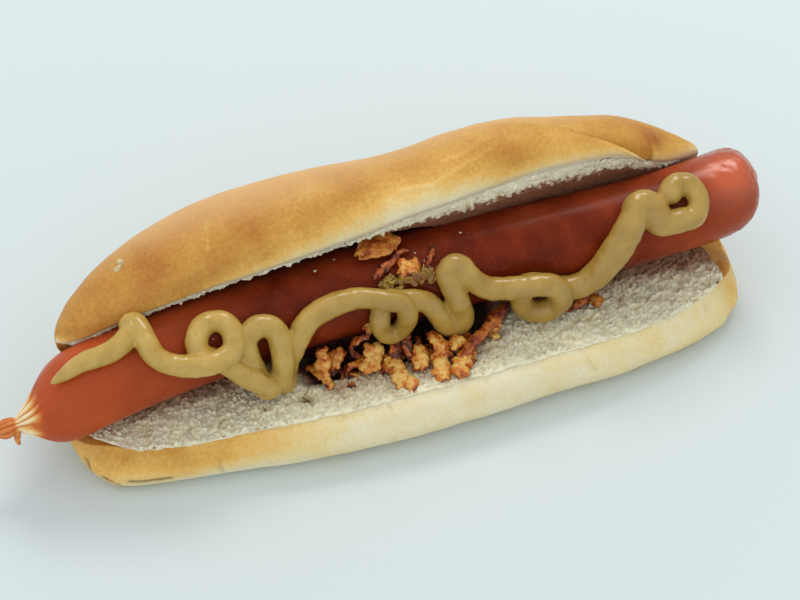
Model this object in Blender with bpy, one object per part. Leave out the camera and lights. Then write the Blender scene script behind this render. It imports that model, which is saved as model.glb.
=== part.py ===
"""Hot dog: a long soft roll split along its front side and hinged at the back, a frankfurter lying in
it, a thin rope of mustard piped over the frankfurter from end to end, and crisp fried onions with a
little pickle relish strewn over the middle.

Sizes are in millimetres, and every mesh is made in metres. X runs along the roll, the open side
faces -Y, and Z = 0 is the surface that the roll lies on. A point of a cross-section is (y, z).
"""

from math import cos, degrees, pi, radians, sin, sqrt

import bmesh
import bpy
import numpy as np
from mathutils import Euler, Matrix, Vector, noise

MM = 0.001
GAP = 0.3  # clearance between pieces that touch

# The roll
HEEL_ENDS = (-99.0, 104.8)  # X of the lower half's ends; the frankfurter's middle is at 0
CROWN_ENDS = (-96.8, 101.0)
CUT_ENDS = (-95.5, 98.0)  # the cut faces of crumb end here, and the crust goes round the roll's ends
HEEL_AXIS = 43.0  # Y that the lower half's ends narrow towards
HEEL_NOSE = 8.5  # Z of the lower half's two end points
HEEL_SINK = 0.26  # how much lower the lower half is at its ends than in the middle

# How blunt the ends are: a half narrows as the square root of 1 - |u| ** power, u being -1 and 1 at
# its ends
HEEL_BLUNT_FRONT, HEEL_BLUNT_BACK, HEEL_BLUNT_HEIGHT = 40.0, 4.5, 12.0
CROWN_BLUNT = (8.5, 5.0)  # at its left and right ends

# The lower half's foremost line: x, y; and its rim, where the crust meets the cut crumb: x, y, z
FRONT_LINE = ((-99.0, 40.0), (-97.4, 29.6), (-93.6, 23.6), (-87.0, 21.0), (-77.0, 19.2), (-60.0, 16.4),
              (-40.0, 12.8), (-20.0, 10.4), (5.0, 9.8), (40.0, 11.6), (60.0, 12.4), (76.0, 15.0),
              (90.0, 18.4), (97.0, 21.2), (102.5, 25.5), (104.3, 32.0), (104.8, 40.0))
RIM_LINE = ((-99.0, 43.0, 8.5), (-96.8, 38.0, 10.8), (-91.5, 32.0, 12.4), (-84.5, 27.2, 13.4),
            (-74.0, 23.2, 14.3), (-52.0, 19.8, 15.6), (-23.0, 16.0, 17.2), (5.0, 15.0, 18.0),
            (40.0, 15.9, 17.4), (70.0, 18.4, 16.0), (87.0, 24.0, 14.7), (98.0, 31.5, 13.4),
            (102.8, 37.5, 11.6), (104.8, 43.0, 8.5))

# The lower half's section in the middle: crust from the front rim round the bottom to the hinge,
# then crumb back to the rim
HEEL_CRUST = ((15.0, 18.0), (11.6, 15.2), (9.8, 9.5), (12.0, 3.4), (18.4, -0.6), (43.0, -2.0),
              (66.0, -0.8), (73.5, 4.0), (76.5, 11.0), (76.8, 18.0), (73.0, 25.5))
HEEL_CRUMB = ((73.0, 25.5), (61.0, 24.0), (54.0, 18.6), (46.0, 17.0), (34.0, 17.4), (24.0, 18.0),
              (15.0, 18.0))

# The upper half's section in the middle, from the lip over the dome to the hinge, then crumb back
CROWN_CRUST = ((50.0, 52.0), (48.4, 55.5), (50.5, 61.0), (58.5, 65.8), (68.5, 64.2), (76.5, 56.0),
               (80.0, 44.0), (79.8, 33.0), (76.5, 24.5))
CROWN_CRUMB = ((76.5, 24.5), (67.0, 20.0), (61.0, 25.0), (60.8, 32.0), (59.0, 39.0), (55.0, 45.5),
               (50.0, 52.0))
CROWN_LIP, CROWN_APEX, CROWN_HINGE = (50.0, 52.0), (68.5, 64.2), (76.5, 24.5)

# Where those three points lie along the roll: x, y, z
LIP_LINE = ((-98.0, 48.5, 35.0), (-80.0, 48.7, 41.0), (-54.0, 47.8, 46.0), (-17.0, 48.8, 49.0),
            (20.0, 52.0, 50.8), (55.0, 53.5, 51.6), (76.0, 53.2, 49.0), (84.0, 53.2, 44.5),
            (98.0, 55.0, 38.5))
APEX_LINE = ((-98.0, 63.0, 42.0), (-80.0, 65.5, 49.5), (-54.0, 67.5, 58.0), (-17.0, 69.0, 59.8),
             (10.0, 70.3, 57.2), (28.0, 71.3, 58.8), (40.0, 71.8, 59.3), (48.0, 72.3, 58.4),
             (57.0, 72.5, 55.8), (66.0, 72.4, 53.6), (80.0, 72.0, 51.0), (98.0, 68.0, 45.0))
HINGE_LINE = ((-98.0, 70.0, 13.5), (-80.0, 73.5, 18.5), (-50.0, 75.5, 22.0), (0.0, 76.5, 24.0),
              (50.0, 75.5, 22.5), (80.0, 73.5, 19.0), (98.0, 70.0, 14.5))
CROWN_NOSES = ((55.0, 34.0), (60.0, 37.0))  # the upper half's two end points

# Points along the crust and along the crumb of each section, the first strips of crumb beside the
# hinge that are crust too, and the sections along the roll
HEEL_COUNTS, HEEL_HINGE_STRIPS = (18, 9), 1
CROWN_COUNTS, CROWN_HINGE_STRIPS = (20, 10), 3
ROLL_STATIONS = 34

# The crease where the dome's front flap folds over its right end: x, how far round the dome (0 lip,
# 1 hinge), and its depth
FOLD_LINE = ((26.0, 0.40), (40.0, 0.36), (55.0, 0.27), (70.0, 0.14), (84.0, 0.0))
FOLD_DEPTH, FOLD_WIDTH, FOLD_LIP, FOLD_RUN_IN = 3.4, 7.0, 1.2, 25.0
CROWN_ARC = 75.0  # length of the crust over the dome

# The frankfurter
LINK_RADIUS = 12.5
LINK_AXIS = ((-121.0, 40.0, 20.3), (-114.0, 40.6, 20.7), (-108.0, 41.1, 21.6), (-102.0, 41.6, 23.4),
             (-94.0, 42.3, 25.6), (-54.0, 46.4, 29.3), (-19.0, 48.2, 30.0), (30.0, 47.5, 30.2),
             (68.0, 45.5, 30.4), (98.0, 45.6, 31.8), (114.0, 46.4, 34.0))
LINK_LEFT, LINK_RIGHT = -121.0, 112.7
LINK_DOME, LINK_DOME_POWER = 12.5, 3.2  # length and bluntness of the rounded right end
LINK_SIDES = 20
# Its radius along the tied left end: x, radius
LINK_NECK = ((-121.0, 1.2), (-117.0, 1.6), (-114.5, 2.3), (-112.0, 3.3), (-109.5, 4.9), (-107.0, 7.3),
             (-104.5, 9.4), (-102.0, 10.9), (-98.0, 12.1), (-92.0, 12.5))
# The pleats round the knot: how many, how deep as a share of the radius, where, and how far along
LINK_PLEATS, PLEAT_DEPTH, PLEAT_PLACE, PLEAT_SPREAD = 9, 0.10, -109.0, 5.0

# The mustard: arcs of the rope's centre line, laid from right to left on the frankfurter's unrolled
# skin. Each is centre x, centre t, radius along x, radius along t, start and end angle in degrees,
# where t is the way down the front from the top line. A single point has radii of 0.
ROPE_ARCS = (
    (85.6, 10.0, 4.3, 5.3, 180, -110),
    (73.2, 12.0, 3.5, 4.7, -20, 160),
    (60.5, 20.5, 0, 0, 0, 0),
    (49.5, 23.0, 7.0, 5.7, -35, -110),
    (39.3, 28.6, 5.8, 6.8, 135, 435),
    (24.0, 21.4, 0, 0, 0, 0),
    (15.4, 14.9, 2.6, 2.8, 0, 190),
    (13.8, 30.4, 2.6, 3.2, 20, -150),
    (5.5, 21.4, 0, 0, 0, 0),
    (-4.8, 23.8, 3.2, 6.8, 60, 455),
    (-20.0, 32.0, 17.0, 18.5, 75, 172),
    (-38.3, 34.2, 0.9, 1.6, 0, -180),
    (-43.6, 18.5, 4.8, 4.8, 10, 180),
    (-44.0, 32.2, 1.2, 1.6, 180, 360),
    (-56.8, 13.0, 5.2, 5.3, 250, -50),
    (-67.0, 16.6, 0, 0, 0, 0),
    (-74.0, 11.4, 0, 0, 0, 0),
    (-77.2, 1.4, 1.2, 3.0, 0, 180),
    (-84.5, 4.6, 0, 0, 0, 0),
    (-94.4, 3.6, 0, 0, 0, 0),
    (-103.5, 4.2, 0, 0, 0, 0),
)
ROPE_MEAN = 3.3  # the height above the skin at which t is measured
ROPE_SINK = 0.85  # how much of its radius the rope's centre stands above what it rests on
ROPE_STACK = 5.0  # how far apart two crossing strands' centres stay
ROPE_CROSSING = 12.0  # strands closer than this along the rope aren't crossings
ROPE_RINGS, ROPE_SIDES = 120, 8
# Rope radius along X, thicker where the piping began at the right
ROPE_RADII = ((-103.0, 1.4), (-97.0, 2.4), (-88.0, 3.0), (-60.0, 3.2), (30.0, 3.4), (52.0, 3.7),
              (62.0, 4.4), (74.0, 4.2), (90.0, 3.3))

# The toppings: points round and along each, how uneven its edge is and how long the unevenness is,
# and how far the pieces have settled into the crumb's rim
FLAKE_SIDES, FLAKE_RINGS = 10, 6
FLAKE_WAVE, FLAKE_PITCH = 0.35, 1.7
CRUMB_SETTLE = 0.4
# Those on the frankfurter: name, x, t, height of the middle over the skin, length, width and
# thickness, heading in degrees, bend, colour
SKIN_TOPPINGS = (
    ("onion_oval_slice", -3.5, -0.4, 1.9, (14.0, 8.5, 1.5), 6, 0.6, "brown"),
    ("onion_long_curl", -2.6, 7.4, 1.6, (13.5, 3.0, 2.0), 24, -0.6, "brown"),
    ("onion_orange_crisp", 3.0, 10.0, 1.8, (5.6, 3.2, 2.4), 20, 0.0, "golden"),
    ("onion_thin_strand", 10.6, 7.2, 1.5, (8.0, 2.4, 1.8), 48, 0.5, "brown"),
    ("pickle_relish", 3.2, 12.6, 1.8, (14.0, 4.4, 2.8), 0, -0.6, "green"),
)
# Those on the crumb: name, place of the middle, size, turns about X, Y and Z, bend, colour
CRUMB_TOPPINGS = (
    ("fried_onion_heap", (-7.0, 28.6, 19.0), (43.0, 15.5, 9.0), (8, 0, 0), 0.0, "golden"),
    ("onion_upright_crisp", (-27.0, 30.6, 23.2), (10.0, 4.2, 2.0), (0, -62, 70), 0.4, "golden"),
    ("onion_tall_curl", (-17.0, 32.0, 25.0), (9.0, 3.0, 2.0), (0, -70, 60), 0.8, "brown"),
    ("onion_slanted_strip", (21.0, 25.6, 22.6), (24.0, 3.2, 2.4), (0, -12, 27), 0.5, "brown"),
    ("onion_yellow_crisp", (26.0, 31.2, 19.0), (6.0, 4.4, 2.8), (0, 0, 30), 0.0, "golden"),
    ("onion_right_strip", (51.5, 31.5, 18.8), (8.0, 3.8, 2.2), (10, 0, 4), 0.3, "brown"),
    ("onion_right_crisp", (58.0, 31.0, 18.9), (4.8, 4.2, 2.8), (0, 10, 60), 0.0, "golden"),
)


def smooth(x, keys):
    """Values at x of a smooth curve through keys, rows of (place, value, ...)."""
    rows = np.asarray(keys, float)
    places, values = rows[:, 0], rows[:, 1:]
    slopes = np.gradient(values, places, axis=0)
    x = min(max(x, places[0]), places[-1])
    i = int(min(max(np.searchsorted(places, x) - 1, 0), len(places) - 2))
    span = places[i + 1] - places[i]
    t = (x - places[i]) / span
    return ((2 * t**3 - 3 * t**2 + 1) * values[i] + (t**3 - 2 * t**2 + t) * span * slopes[i]
            + (3 * t**2 - 2 * t**3) * values[i + 1] + (t**3 - t**2) * span * slopes[i + 1])


def along(points, count):
    """count points evenly spaced along a smooth curve through the given points."""
    points = np.asarray(points, float)
    steps = np.linalg.norm(np.diff(points, axis=0), axis=1) ** 0.5
    places = np.concatenate([[0.0], np.cumsum(steps)])
    keys = np.column_stack([places, points])
    fine = np.array([smooth(s, keys) for s in np.linspace(0, places[-1], 12 * len(points))])
    run = np.concatenate([[0.0], np.cumsum(np.linalg.norm(np.diff(fine, axis=0), axis=1))])
    wanted = np.linspace(0, run[-1], count)
    return np.column_stack([np.interp(wanted, run, fine[:, k]) for k in range(fine.shape[1])])


def between(ends, u):
    """The place between two ends at u, from -1 to 1."""
    return (ends[0] + ends[1]) / 2 + (ends[1] - ends[0]) / 2 * u


def narrowing(u, power):
    """How wide the roll is at u, from 1 in its middle to 0 at its ends (u = -1 and 1)."""
    return sqrt(max(0.0, 1.0 - abs(u) ** power))


def affine(source, target):
    """The 2 x 3 matrix that carries three points (y, z) to three others."""
    corners = np.column_stack([np.asarray(source, float), np.ones(3)])
    return np.linalg.solve(corners, np.asarray(target, float)).T


def outline(crust, crumb, counts):
    """The points round a section: counts[0] along the crust, then counts[1] along the crumb."""
    return np.vstack([along(crust, counts[0])[:-1], along(crumb, counts[1])[:-1]])


def heel_section(middle, u):
    """The lower half's section at u, from its section in the middle: points (y, z), crust first."""
    x = between(HEEL_ENDS, u)
    points = middle.copy()
    front = (HEEL_AXIS - float(smooth(x, FRONT_LINE)[0])) / (HEEL_AXIS - middle[:, 0].min())
    front *= narrowing(u, HEEL_BLUNT_FRONT)
    reach = np.where(points[:, 0] < HEEL_AXIS, front, narrowing(u, HEEL_BLUNT_BACK))
    points[:, 0] = HEEL_AXIS + (points[:, 0] - HEEL_AXIS) * reach
    sunk = points[:, 1] * (1 - HEEL_SINK * abs(u) ** 1.6)
    points[:, 1] = HEEL_NOSE + (sunk - HEEL_NOSE) * narrowing(u, HEEL_BLUNT_HEIGHT)
    steps = np.arange(len(points))
    pull = np.exp(-((steps / 1.5) ** 2)) + np.exp(-(((len(points) - steps) / 2.5) ** 2))
    points += pull[:, None] * (smooth(x, RIM_LINE) - points[0])
    points[:, 1] = np.maximum(points[:, 1], 0.0)
    return points


def crown_section(middle, u):
    """The upper half's section at u, from its section in the middle: points (y, z), crust first."""
    x = between(CROWN_ENDS, u)
    placed = [smooth(x, line) for line in (LIP_LINE, APEX_LINE, HINGE_LINE)]
    carry = affine((CROWN_LIP, CROWN_APEX, CROWN_HINGE), placed)
    points = np.column_stack([middle, np.ones(len(middle))]) @ carry.T
    nose = np.array(CROWN_NOSES[int(u > 0)])
    return fold(nose + (points - nose) * narrowing(u, CROWN_BLUNT[int(u > 0)]), x)


def loft(name, places, sections, ends):
    """A closed mesh object through sections, rings of (y, z) at the places x, with its two end points."""
    mesh = bmesh.new()
    rings = [[mesh.verts.new((x, y, z)) for y, z in section] for x, section in zip(places, sections)]
    for one, other in zip(rings, rings[1:]):
        count = len(one)
        for i in range(count):
            j = (i + 1) % count
            mesh.faces.new((one[i], other[i], other[j], one[j]))
    for ring, end, turned in ((rings[0], ends[0], False), (rings[-1], ends[1], True)):
        tip = mesh.verts.new(end)
        for i in range(len(ring)):
            pair = (ring[i], ring[(i + 1) % len(ring)])
            mesh.faces.new((tip, *pair) if not turned else (tip, *reversed(pair)))
    return made(name, mesh)


def made(name, mesh):
    """The object of a bmesh in millimetres, facing out and shaded smooth."""
    bmesh.ops.recalc_face_normals(mesh, faces=mesh.faces)
    bmesh.ops.scale(mesh, vec=(MM, MM, MM), verts=mesh.verts)
    data = bpy.data.meshes.new(name)
    mesh.to_mesh(data)
    mesh.free()
    data.shade_smooth()
    data.set_sharp_from_angle(angle=radians(50))
    thing = bpy.data.objects.new(name, data)
    bpy.context.scene.collection.objects.link(thing)
    return thing


def fold(section, x):
    """Sinks the crown's crust along the crease, deepest just behind the front flap."""
    start, end = FOLD_LINE[0][0], FOLD_LINE[-1][0]
    if not start < x < end:
        return section
    crease = float(smooth(x, FOLD_LINE)[0])
    depth = FOLD_DEPTH * min(1.0, (x - start) / FOLD_RUN_IN)
    middle = section.mean(axis=0)
    for i in range(CROWN_COUNTS[0]):
        behind = (i / (CROWN_COUNTS[0] - 1) - crease) * CROWN_ARC
        sink = depth * (np.exp(-behind / FOLD_WIDTH) if behind > 0 else np.exp(behind / FOLD_LIP))
        inward = middle - section[i]
        section[i] += inward / np.linalg.norm(inward) * sink
    return section


def roll_half(name, section_at, middle, ends, noses, crust_strips):
    """One half of the roll as a loft, its crumb faces in the second material slot."""
    turns = [-cos(pi * k / ROLL_STATIONS) for k in range(1, ROLL_STATIONS)]
    places = [between(ends, u) for u in turns]
    sections = [section_at(middle, u) for u in turns]
    half = loft(name, places, sections, [(x, *nose) for x, nose in zip(ends, noses)])
    round_ends(half)
    for face in half.data.polygons:
        cut = CUT_ENDS[0] < face.center.x / MM < CUT_ENDS[1]
        face.material_index = int(cut and face.index % len(middle) >= crust_strips)
    return half


def round_ends(half):
    """Softens the crust where it goes round the roll's ends."""
    mesh = bmesh.new()
    mesh.from_mesh(half.data)
    for inset in (4.0, 2.0, 0.0):
        low, high = CUT_ENDS[0] + inset, CUT_ENDS[1] - inset
        verts = [vert for vert in mesh.verts if not low < vert.co.x / MM < high]
        bmesh.ops.smooth_vert(mesh, verts=verts, factor=0.5, use_axis_y=True, use_axis_z=True)
    mesh.to_mesh(half.data)
    mesh.free()


def roll():
    """The whole roll: both halves joined along the hinge at the back."""
    nose = (HEEL_AXIS, HEEL_NOSE)
    heel = roll_half("bun", heel_section, outline(HEEL_CRUST, HEEL_CRUMB, HEEL_COUNTS), HEEL_ENDS,
                     (nose, nose), HEEL_COUNTS[0] - 1 + HEEL_HINGE_STRIPS)
    crown = roll_half("crown", crown_section, outline(CROWN_CRUST, CROWN_CRUMB, CROWN_COUNTS),
                      CROWN_ENDS, CROWN_NOSES, CROWN_COUNTS[0] - 1 + CROWN_HINGE_STRIPS)
    for half in (heel, crown):
        half.data.materials.append(material("bread crust", (0.60, 0.36, 0.14), 0.55))
        half.data.materials.append(material("bread crumb", (0.72, 0.66, 0.54), 0.90))
    combine(heel, crown, "UNION")
    return heel


def link():
    """The frankfurter: a round bar on a slightly bent axis, pleated into its knot at the left."""
    neck_end = LINK_NECK[-1][0]
    places = list(np.linspace(LINK_LEFT, neck_end, 18, endpoint=False))[1:]
    places += list(np.linspace(neck_end, LINK_RIGHT - LINK_DOME, 20, endpoint=False))
    places += [LINK_RIGHT - LINK_DOME * (1 - sin(pi * k / 16)) for k in range(8)]
    sections = []
    for x in places:
        y, z = smooth(x, LINK_AXIS)
        radius = link_radius(x)
        pleat = PLEAT_DEPTH * np.exp(-(((x - PLEAT_PLACE) / PLEAT_SPREAD) ** 2))
        ring = []
        for k in range(LINK_SIDES):
            turn = 2 * pi * k / LINK_SIDES
            reach = radius * (1 + pleat * cos(LINK_PLEATS * turn))
            ring.append((y + reach * cos(turn), z + reach * sin(turn)))
        sections.append(ring)
    ends = [(x, *smooth(x, LINK_AXIS)) for x in (LINK_LEFT, LINK_RIGHT)]
    sausage = loft("sausage", places, sections, ends)
    sausage.data.materials.append(material("smoked casing", (0.36, 0.09, 0.04), 0.30))
    return sausage


def link_radius(x):
    """The frankfurter's radius: a tied neck and tail at the left, a blunt dome at the right."""
    if x < LINK_NECK[-1][0]:
        return float(smooth(x, LINK_NECK)[0])
    dome = max(0.0, (x - (LINK_RIGHT - LINK_DOME)) / LINK_DOME)
    return LINK_RADIUS * sqrt(max(0.0, 1.0 - dome**LINK_DOME_POWER))


def material(name, colour, roughness):
    """A plain material of the given linear colour."""
    found = bpy.data.materials.get(name)
    if found:
        return found
    paint = bpy.data.materials.new(name)
    paint.use_nodes = True
    paint.diffuse_color = (*colour, 1.0)
    surface = paint.node_tree.nodes["Principled BSDF"]
    surface.inputs["Base Color"].default_value = (*colour, 1.0)
    surface.inputs["Roughness"].default_value = roughness
    surface.inputs["Metallic"].default_value = 0.0
    return paint


def combine(body, tool, operation, grow=0.0):
    """Joins tool to body or cuts it out, grown by a clearance, and keeps the result as body's mesh."""
    helper = tool.copy()
    helper.data = tool.data.copy()
    bpy.context.scene.collection.objects.link(helper)
    if grow:
        swell = helper.modifiers.new("clearance", "DISPLACE")
        swell.strength = grow * MM
        swell.mid_level = 0.0
    change = body.modifiers.new(operation.lower(), "BOOLEAN")
    change.operation = operation
    change.object = helper
    change.use_self = True
    graph = bpy.context.evaluated_depsgraph_get()
    solid = bpy.data.meshes.new_from_object(body.evaluated_get(graph))
    body.modifiers.clear()
    body.data = solid
    bpy.data.objects.remove(helper)
    if operation == "UNION":
        bpy.data.objects.remove(tool)


def rope_path():
    """The mustard's centre line on the unrolled skin, as rows (x, t), in the order it was laid."""
    rows = []
    for cx, ct, rx, rt, start, end in ROPE_ARCS:
        steps = max(1, round(abs(end - start) / 40))
        for k in range(steps + 1 if rx else 1):
            turn = radians(start + (end - start) * k / steps)
            rows.append((cx + rx * cos(turn), ct - rt * sin(turn)))
    return along(rows, ROPE_RINGS)


def rope_lifts(path):
    """How high each point of the rope is carried by the strands laid before it."""
    run = np.concatenate([[0.0], np.cumsum(np.linalg.norm(np.diff(path, axis=0), axis=1))])
    lifts = np.zeros(len(path))
    for i in range(len(path)):
        for j in range(i):
            if run[i] - run[j] < ROPE_CROSSING:
                break
            apart = float(np.linalg.norm(path[i] - path[j]))
            if apart < ROPE_STACK:
                lifts[i] = max(lifts[i], lifts[j] + sqrt(ROPE_STACK**2 - apart**2))
    for _ in range(3):
        lifts[1:-1] = (lifts[:-2] + 2 * lifts[1:-1] + lifts[2:]) / 4
    return lifts


def on_skin(x, t, height):
    """The point a height above the frankfurter's skin, or above the crumb where t reaches it."""
    y, z = smooth(x, LINK_AXIS)
    reach = LINK_RADIUS + height
    quarter = (LINK_RADIUS + ROPE_MEAN) * pi / 2
    if t <= quarter:
        turn = t / (LINK_RADIUS + ROPE_MEAN)
        return Vector((x, y - reach * sin(turn), z + reach * cos(turn)))
    drop = t - quarter
    floor = crumb_height(x) + height
    forward = max(0.0, floor - (z - drop))
    return Vector((x, y - reach - forward, max(z - drop, floor)))


def crumb_height(x):
    """Z of the lower half's cut face in front of the frankfurter."""
    return float(smooth(x, RIM_LINE)[1]) - CRUMB_SETTLE


def rope():
    """The mustard: one rope whose loops have sunk into each other, resting on what lies under it."""
    path = rope_path()
    lifts = rope_lifts(path)
    centres = []
    radii = []
    for (x, t), lift in zip(path, lifts):
        radius = float(smooth(x, ROPE_RADII)[0])
        centres.append(on_skin(x, t, radius * ROPE_SINK + lift))
        radii.append(radius)
    mustard = tube("mustard", centres, radii, ROPE_SIDES)
    mustard.data.materials.append(material("mustard paste", (0.50, 0.33, 0.09), 0.35))
    return mustard


def tube(name, centres, radii, sides):
    """A closed tube of varying radius along the centres, with rounded ends."""
    mesh = bmesh.new()
    rings = []
    side = None
    for i, (centre, radius) in enumerate(zip(centres, radii)):
        forward = (centres[min(i + 1, len(centres) - 1)] - centres[max(i - 1, 0)]).normalized()
        side = forward.orthogonal() if side is None else side - forward * side.dot(forward)
        side.normalize()
        up = forward.cross(side)
        turns = [2 * pi * k / sides for k in range(sides)]
        rings.append([mesh.verts.new(centre + radius * (cos(a) * side + sin(a) * up)) for a in turns])
    for one, other in zip(rings, rings[1:]):
        for i in range(sides):
            j = (i + 1) % sides
            mesh.faces.new((one[i], one[j], other[j], other[i]))
    for ring, centre, neighbour, radius in (
        (rings[0], centres[0], centres[1], radii[0]),
        (rings[-1], centres[-1], centres[-2], radii[-1]),
    ):
        tip = mesh.verts.new(centre + (centre - neighbour).normalized() * radius * 0.7)
        for i in range(sides):
            mesh.faces.new((tip, ring[i], ring[(i + 1) % sides]))
    return made(name, mesh)


def topping(name, place, size, turns, bend, paint, seed):
    """A crisp, uneven flake: length along its own X, bent across it, with a wavy edge."""
    mesh = bmesh.new()
    bmesh.ops.create_uvsphere(mesh, u_segments=FLAKE_SIDES, v_segments=FLAKE_RINGS, radius=1.0)
    bmesh.ops.rotate(mesh, cent=(0, 0, 0), matrix=Matrix.Rotation(pi / 2, 3, "Y"), verts=mesh.verts)
    length, width, thickness = size
    for vert in mesh.verts:
        wave = 1 + FLAKE_WAVE * noise.noise(vert.co * FLAKE_PITCH + Vector((seed, 0, 0)))
        x, y, z = vert.co * wave
        vert.co = (x * length / 2, y * width / 2, z * thickness / 2 + bend * (x * x - 0.4))
    turn = Euler([radians(a) for a in turns]).to_matrix()
    bmesh.ops.rotate(mesh, cent=(0, 0, 0), matrix=turn, verts=mesh.verts)
    bmesh.ops.translate(mesh, vec=place, verts=mesh.verts)
    flake = made(name, mesh)
    flake.data.materials.append(paint)
    return flake


def lying(x, t, height):
    """Where a topping on the frankfurter lies, and how far it leans with the skin, in degrees."""
    return on_skin(x, t, height), degrees(t / (LINK_RADIUS + ROPE_MEAN))


def toppings():
    """The onions and the relish: loose pieces on the frankfurter, others and a heap on the crumb."""
    brown = material("fried onion", (0.42, 0.16, 0.035), 0.55)
    golden = material("golden fried onion", (0.66, 0.30, 0.06), 0.55)
    green = material("pickle relish", (0.24, 0.20, 0.04), 0.35)
    pieces = []
    for name, x, t, height, size, yaw, bend, paint in SKIN_TOPPINGS:
        place, lean = lying(x, t, height)
        colour = {"brown": brown, "golden": golden, "green": green}[paint]
        pieces.append(topping(name, place, size, (lean, 0, yaw), bend, colour, len(pieces)))
    for name, place, size, turns, bend, paint in CRUMB_TOPPINGS:
        colour = {"brown": brown, "golden": golden, "green": green}[paint]
        pieces.append(topping(name, place, size, turns, bend, colour, len(pieces)))
    return pieces


def near(one, other):
    """Whether the boxes of two objects come within the clearance of each other."""
    boxes = []
    for thing in (one, other):
        corners = np.array([vert.co for vert in thing.data.vertices]) / MM
        boxes.append((corners.min(axis=0) - GAP, corners.max(axis=0) + GAP))
    return bool((boxes[0][0] < boxes[1][1]).all() and (boxes[1][0] < boxes[0][1]).all())


def stand_at_origin(pieces):
    """Moves every mesh so that the whole stands on Z = 0 with the middle of its box above the origin."""
    corners = np.array([vert.co for piece in pieces for vert in piece.data.vertices])
    low, high = corners.min(axis=0), corners.max(axis=0)
    shift = Vector((-(low[0] + high[0]) / 2, -(low[1] + high[1]) / 2, -low[2]))
    for piece in pieces:
        piece.data.transform(Matrix.Translation(shift))


def main():
    for thing in list(bpy.data.objects):
        bpy.data.objects.remove(thing)
    bun = roll()
    sausage = link()
    mustard = rope()
    combine(bun, sausage, "DIFFERENCE", GAP)
    combine(mustard, sausage, "DIFFERENCE", GAP)
    combine(mustard, bun, "DIFFERENCE", GAP)
    laid = [bun, sausage, mustard]
    for piece in toppings():
        for other in laid:
            if near(piece, other):
                combine(piece, other, "DIFFERENCE", GAP)
        laid.append(piece)
    stand_at_origin(laid)


if __name__ == "__main__":
    main()
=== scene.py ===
"""A hot dog laid out for looking at: a soft roll split along its front, a smoked frankfurter, a piped rope
of mustard, crisp fried onions, a little pickle relish and bread crumbs, on a pale table in soft light.

Lengths inside this file are in millimetres unless a name says otherwise. Sections are worked out in the
roll's own coordinates: X along the roll with 0 at the frankfurter's middle, the open side facing -Y and
the table at Z = 0. PLACE carries them into the frame.
"""

from math import acos, atan2, cos, pi, radians, sin, sqrt

import bmesh
import bpy
import numpy as np
from bpy.props import FloatProperty, FloatVectorProperty, IntProperty, PointerProperty
from mathutils import Euler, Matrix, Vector, noise


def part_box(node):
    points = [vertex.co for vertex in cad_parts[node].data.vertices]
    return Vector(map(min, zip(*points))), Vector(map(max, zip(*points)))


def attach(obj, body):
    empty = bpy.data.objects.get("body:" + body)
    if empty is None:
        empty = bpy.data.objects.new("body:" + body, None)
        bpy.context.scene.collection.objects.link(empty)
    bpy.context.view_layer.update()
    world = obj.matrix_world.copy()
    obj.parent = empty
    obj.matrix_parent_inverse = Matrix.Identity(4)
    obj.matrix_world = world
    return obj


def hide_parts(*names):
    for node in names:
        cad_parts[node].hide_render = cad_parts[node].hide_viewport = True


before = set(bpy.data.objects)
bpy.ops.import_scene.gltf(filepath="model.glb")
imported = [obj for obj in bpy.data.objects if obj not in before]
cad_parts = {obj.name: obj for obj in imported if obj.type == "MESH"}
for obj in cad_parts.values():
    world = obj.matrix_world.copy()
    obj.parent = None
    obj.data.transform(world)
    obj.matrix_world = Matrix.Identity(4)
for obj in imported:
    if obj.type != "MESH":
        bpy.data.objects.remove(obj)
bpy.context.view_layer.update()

bl_info = {
    "name": "Hot dog",
    "version": (1, 0, 0),
    "blender": (4, 5, 0),
    "location": "3D View > Sidebar > Hot dog",
    "description": "A hot dog with mustard and fried onions, built around its packed frame",
    "category": "Add Mesh",
}

MM = 0.001


def linear(code):
    """The linear red, green and blue of an sRGB colour such as '#E4CFA0'."""
    shares = [int(code[i:i + 2], 16) / 255 for i in (1, 3, 5)]
    return [c / 12.92 if c <= 0.04045 else ((c + 0.055) / 1.055) ** 2.4 for c in shares]


# ---------------------------------------------------------------------------------------------------
# Sizes

# The roll: X of the ends of its halves, and of the ends of the cut faces of crumb
HEEL_ENDS, CROWN_ENDS, CUT_ENDS = (-99, 104.8), (-96.8, 101), (-95.5, 98)
HEEL_AXIS, HEEL_NOSE, HEEL_SINK = 43, 8.5, 0.26
# How blunt the ends are: a half narrows as the square root of 1 - |u| ** power towards u = -1 and 1
HEEL_BLUNT_FRONT, HEEL_BLUNT_BACK, HEEL_BLUNT_HEIGHT, CROWN_BLUNT = 40, 4.5, 12, (8.5, 5)
# The lower half's foremost line: x, y; and its rim, where crust meets crumb: x, y, z
FRONT_LINE = ((-99, 40), (-97.4, 29.6), (-93.6, 23.6), (-87, 21), (-77, 19.2), (-60, 16.4),
              (-40, 12.8), (-20, 10.4), (5, 9.8), (40, 11.6), (60, 12.4), (76, 15),
              (90, 18.4), (97, 21.2), (102.5, 25.5), (104.3, 32), (104.8, 40))
RIM_LINE = ((-99, 43, 8.5), (-96.8, 38, 10.8), (-91.5, 32, 12.4), (-84.5, 27.2, 13.4),
            (-74, 23.2, 14.3), (-52, 19.8, 15.6), (-23, 16, 17.2), (5, 15, 18),
            (40, 15.9, 17.4), (70, 18.4, 16), (87, 24, 14.7), (98, 31.5, 13.4),
            (102.8, 37.5, 11.6), (104.8, 43, 8.5))
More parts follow.
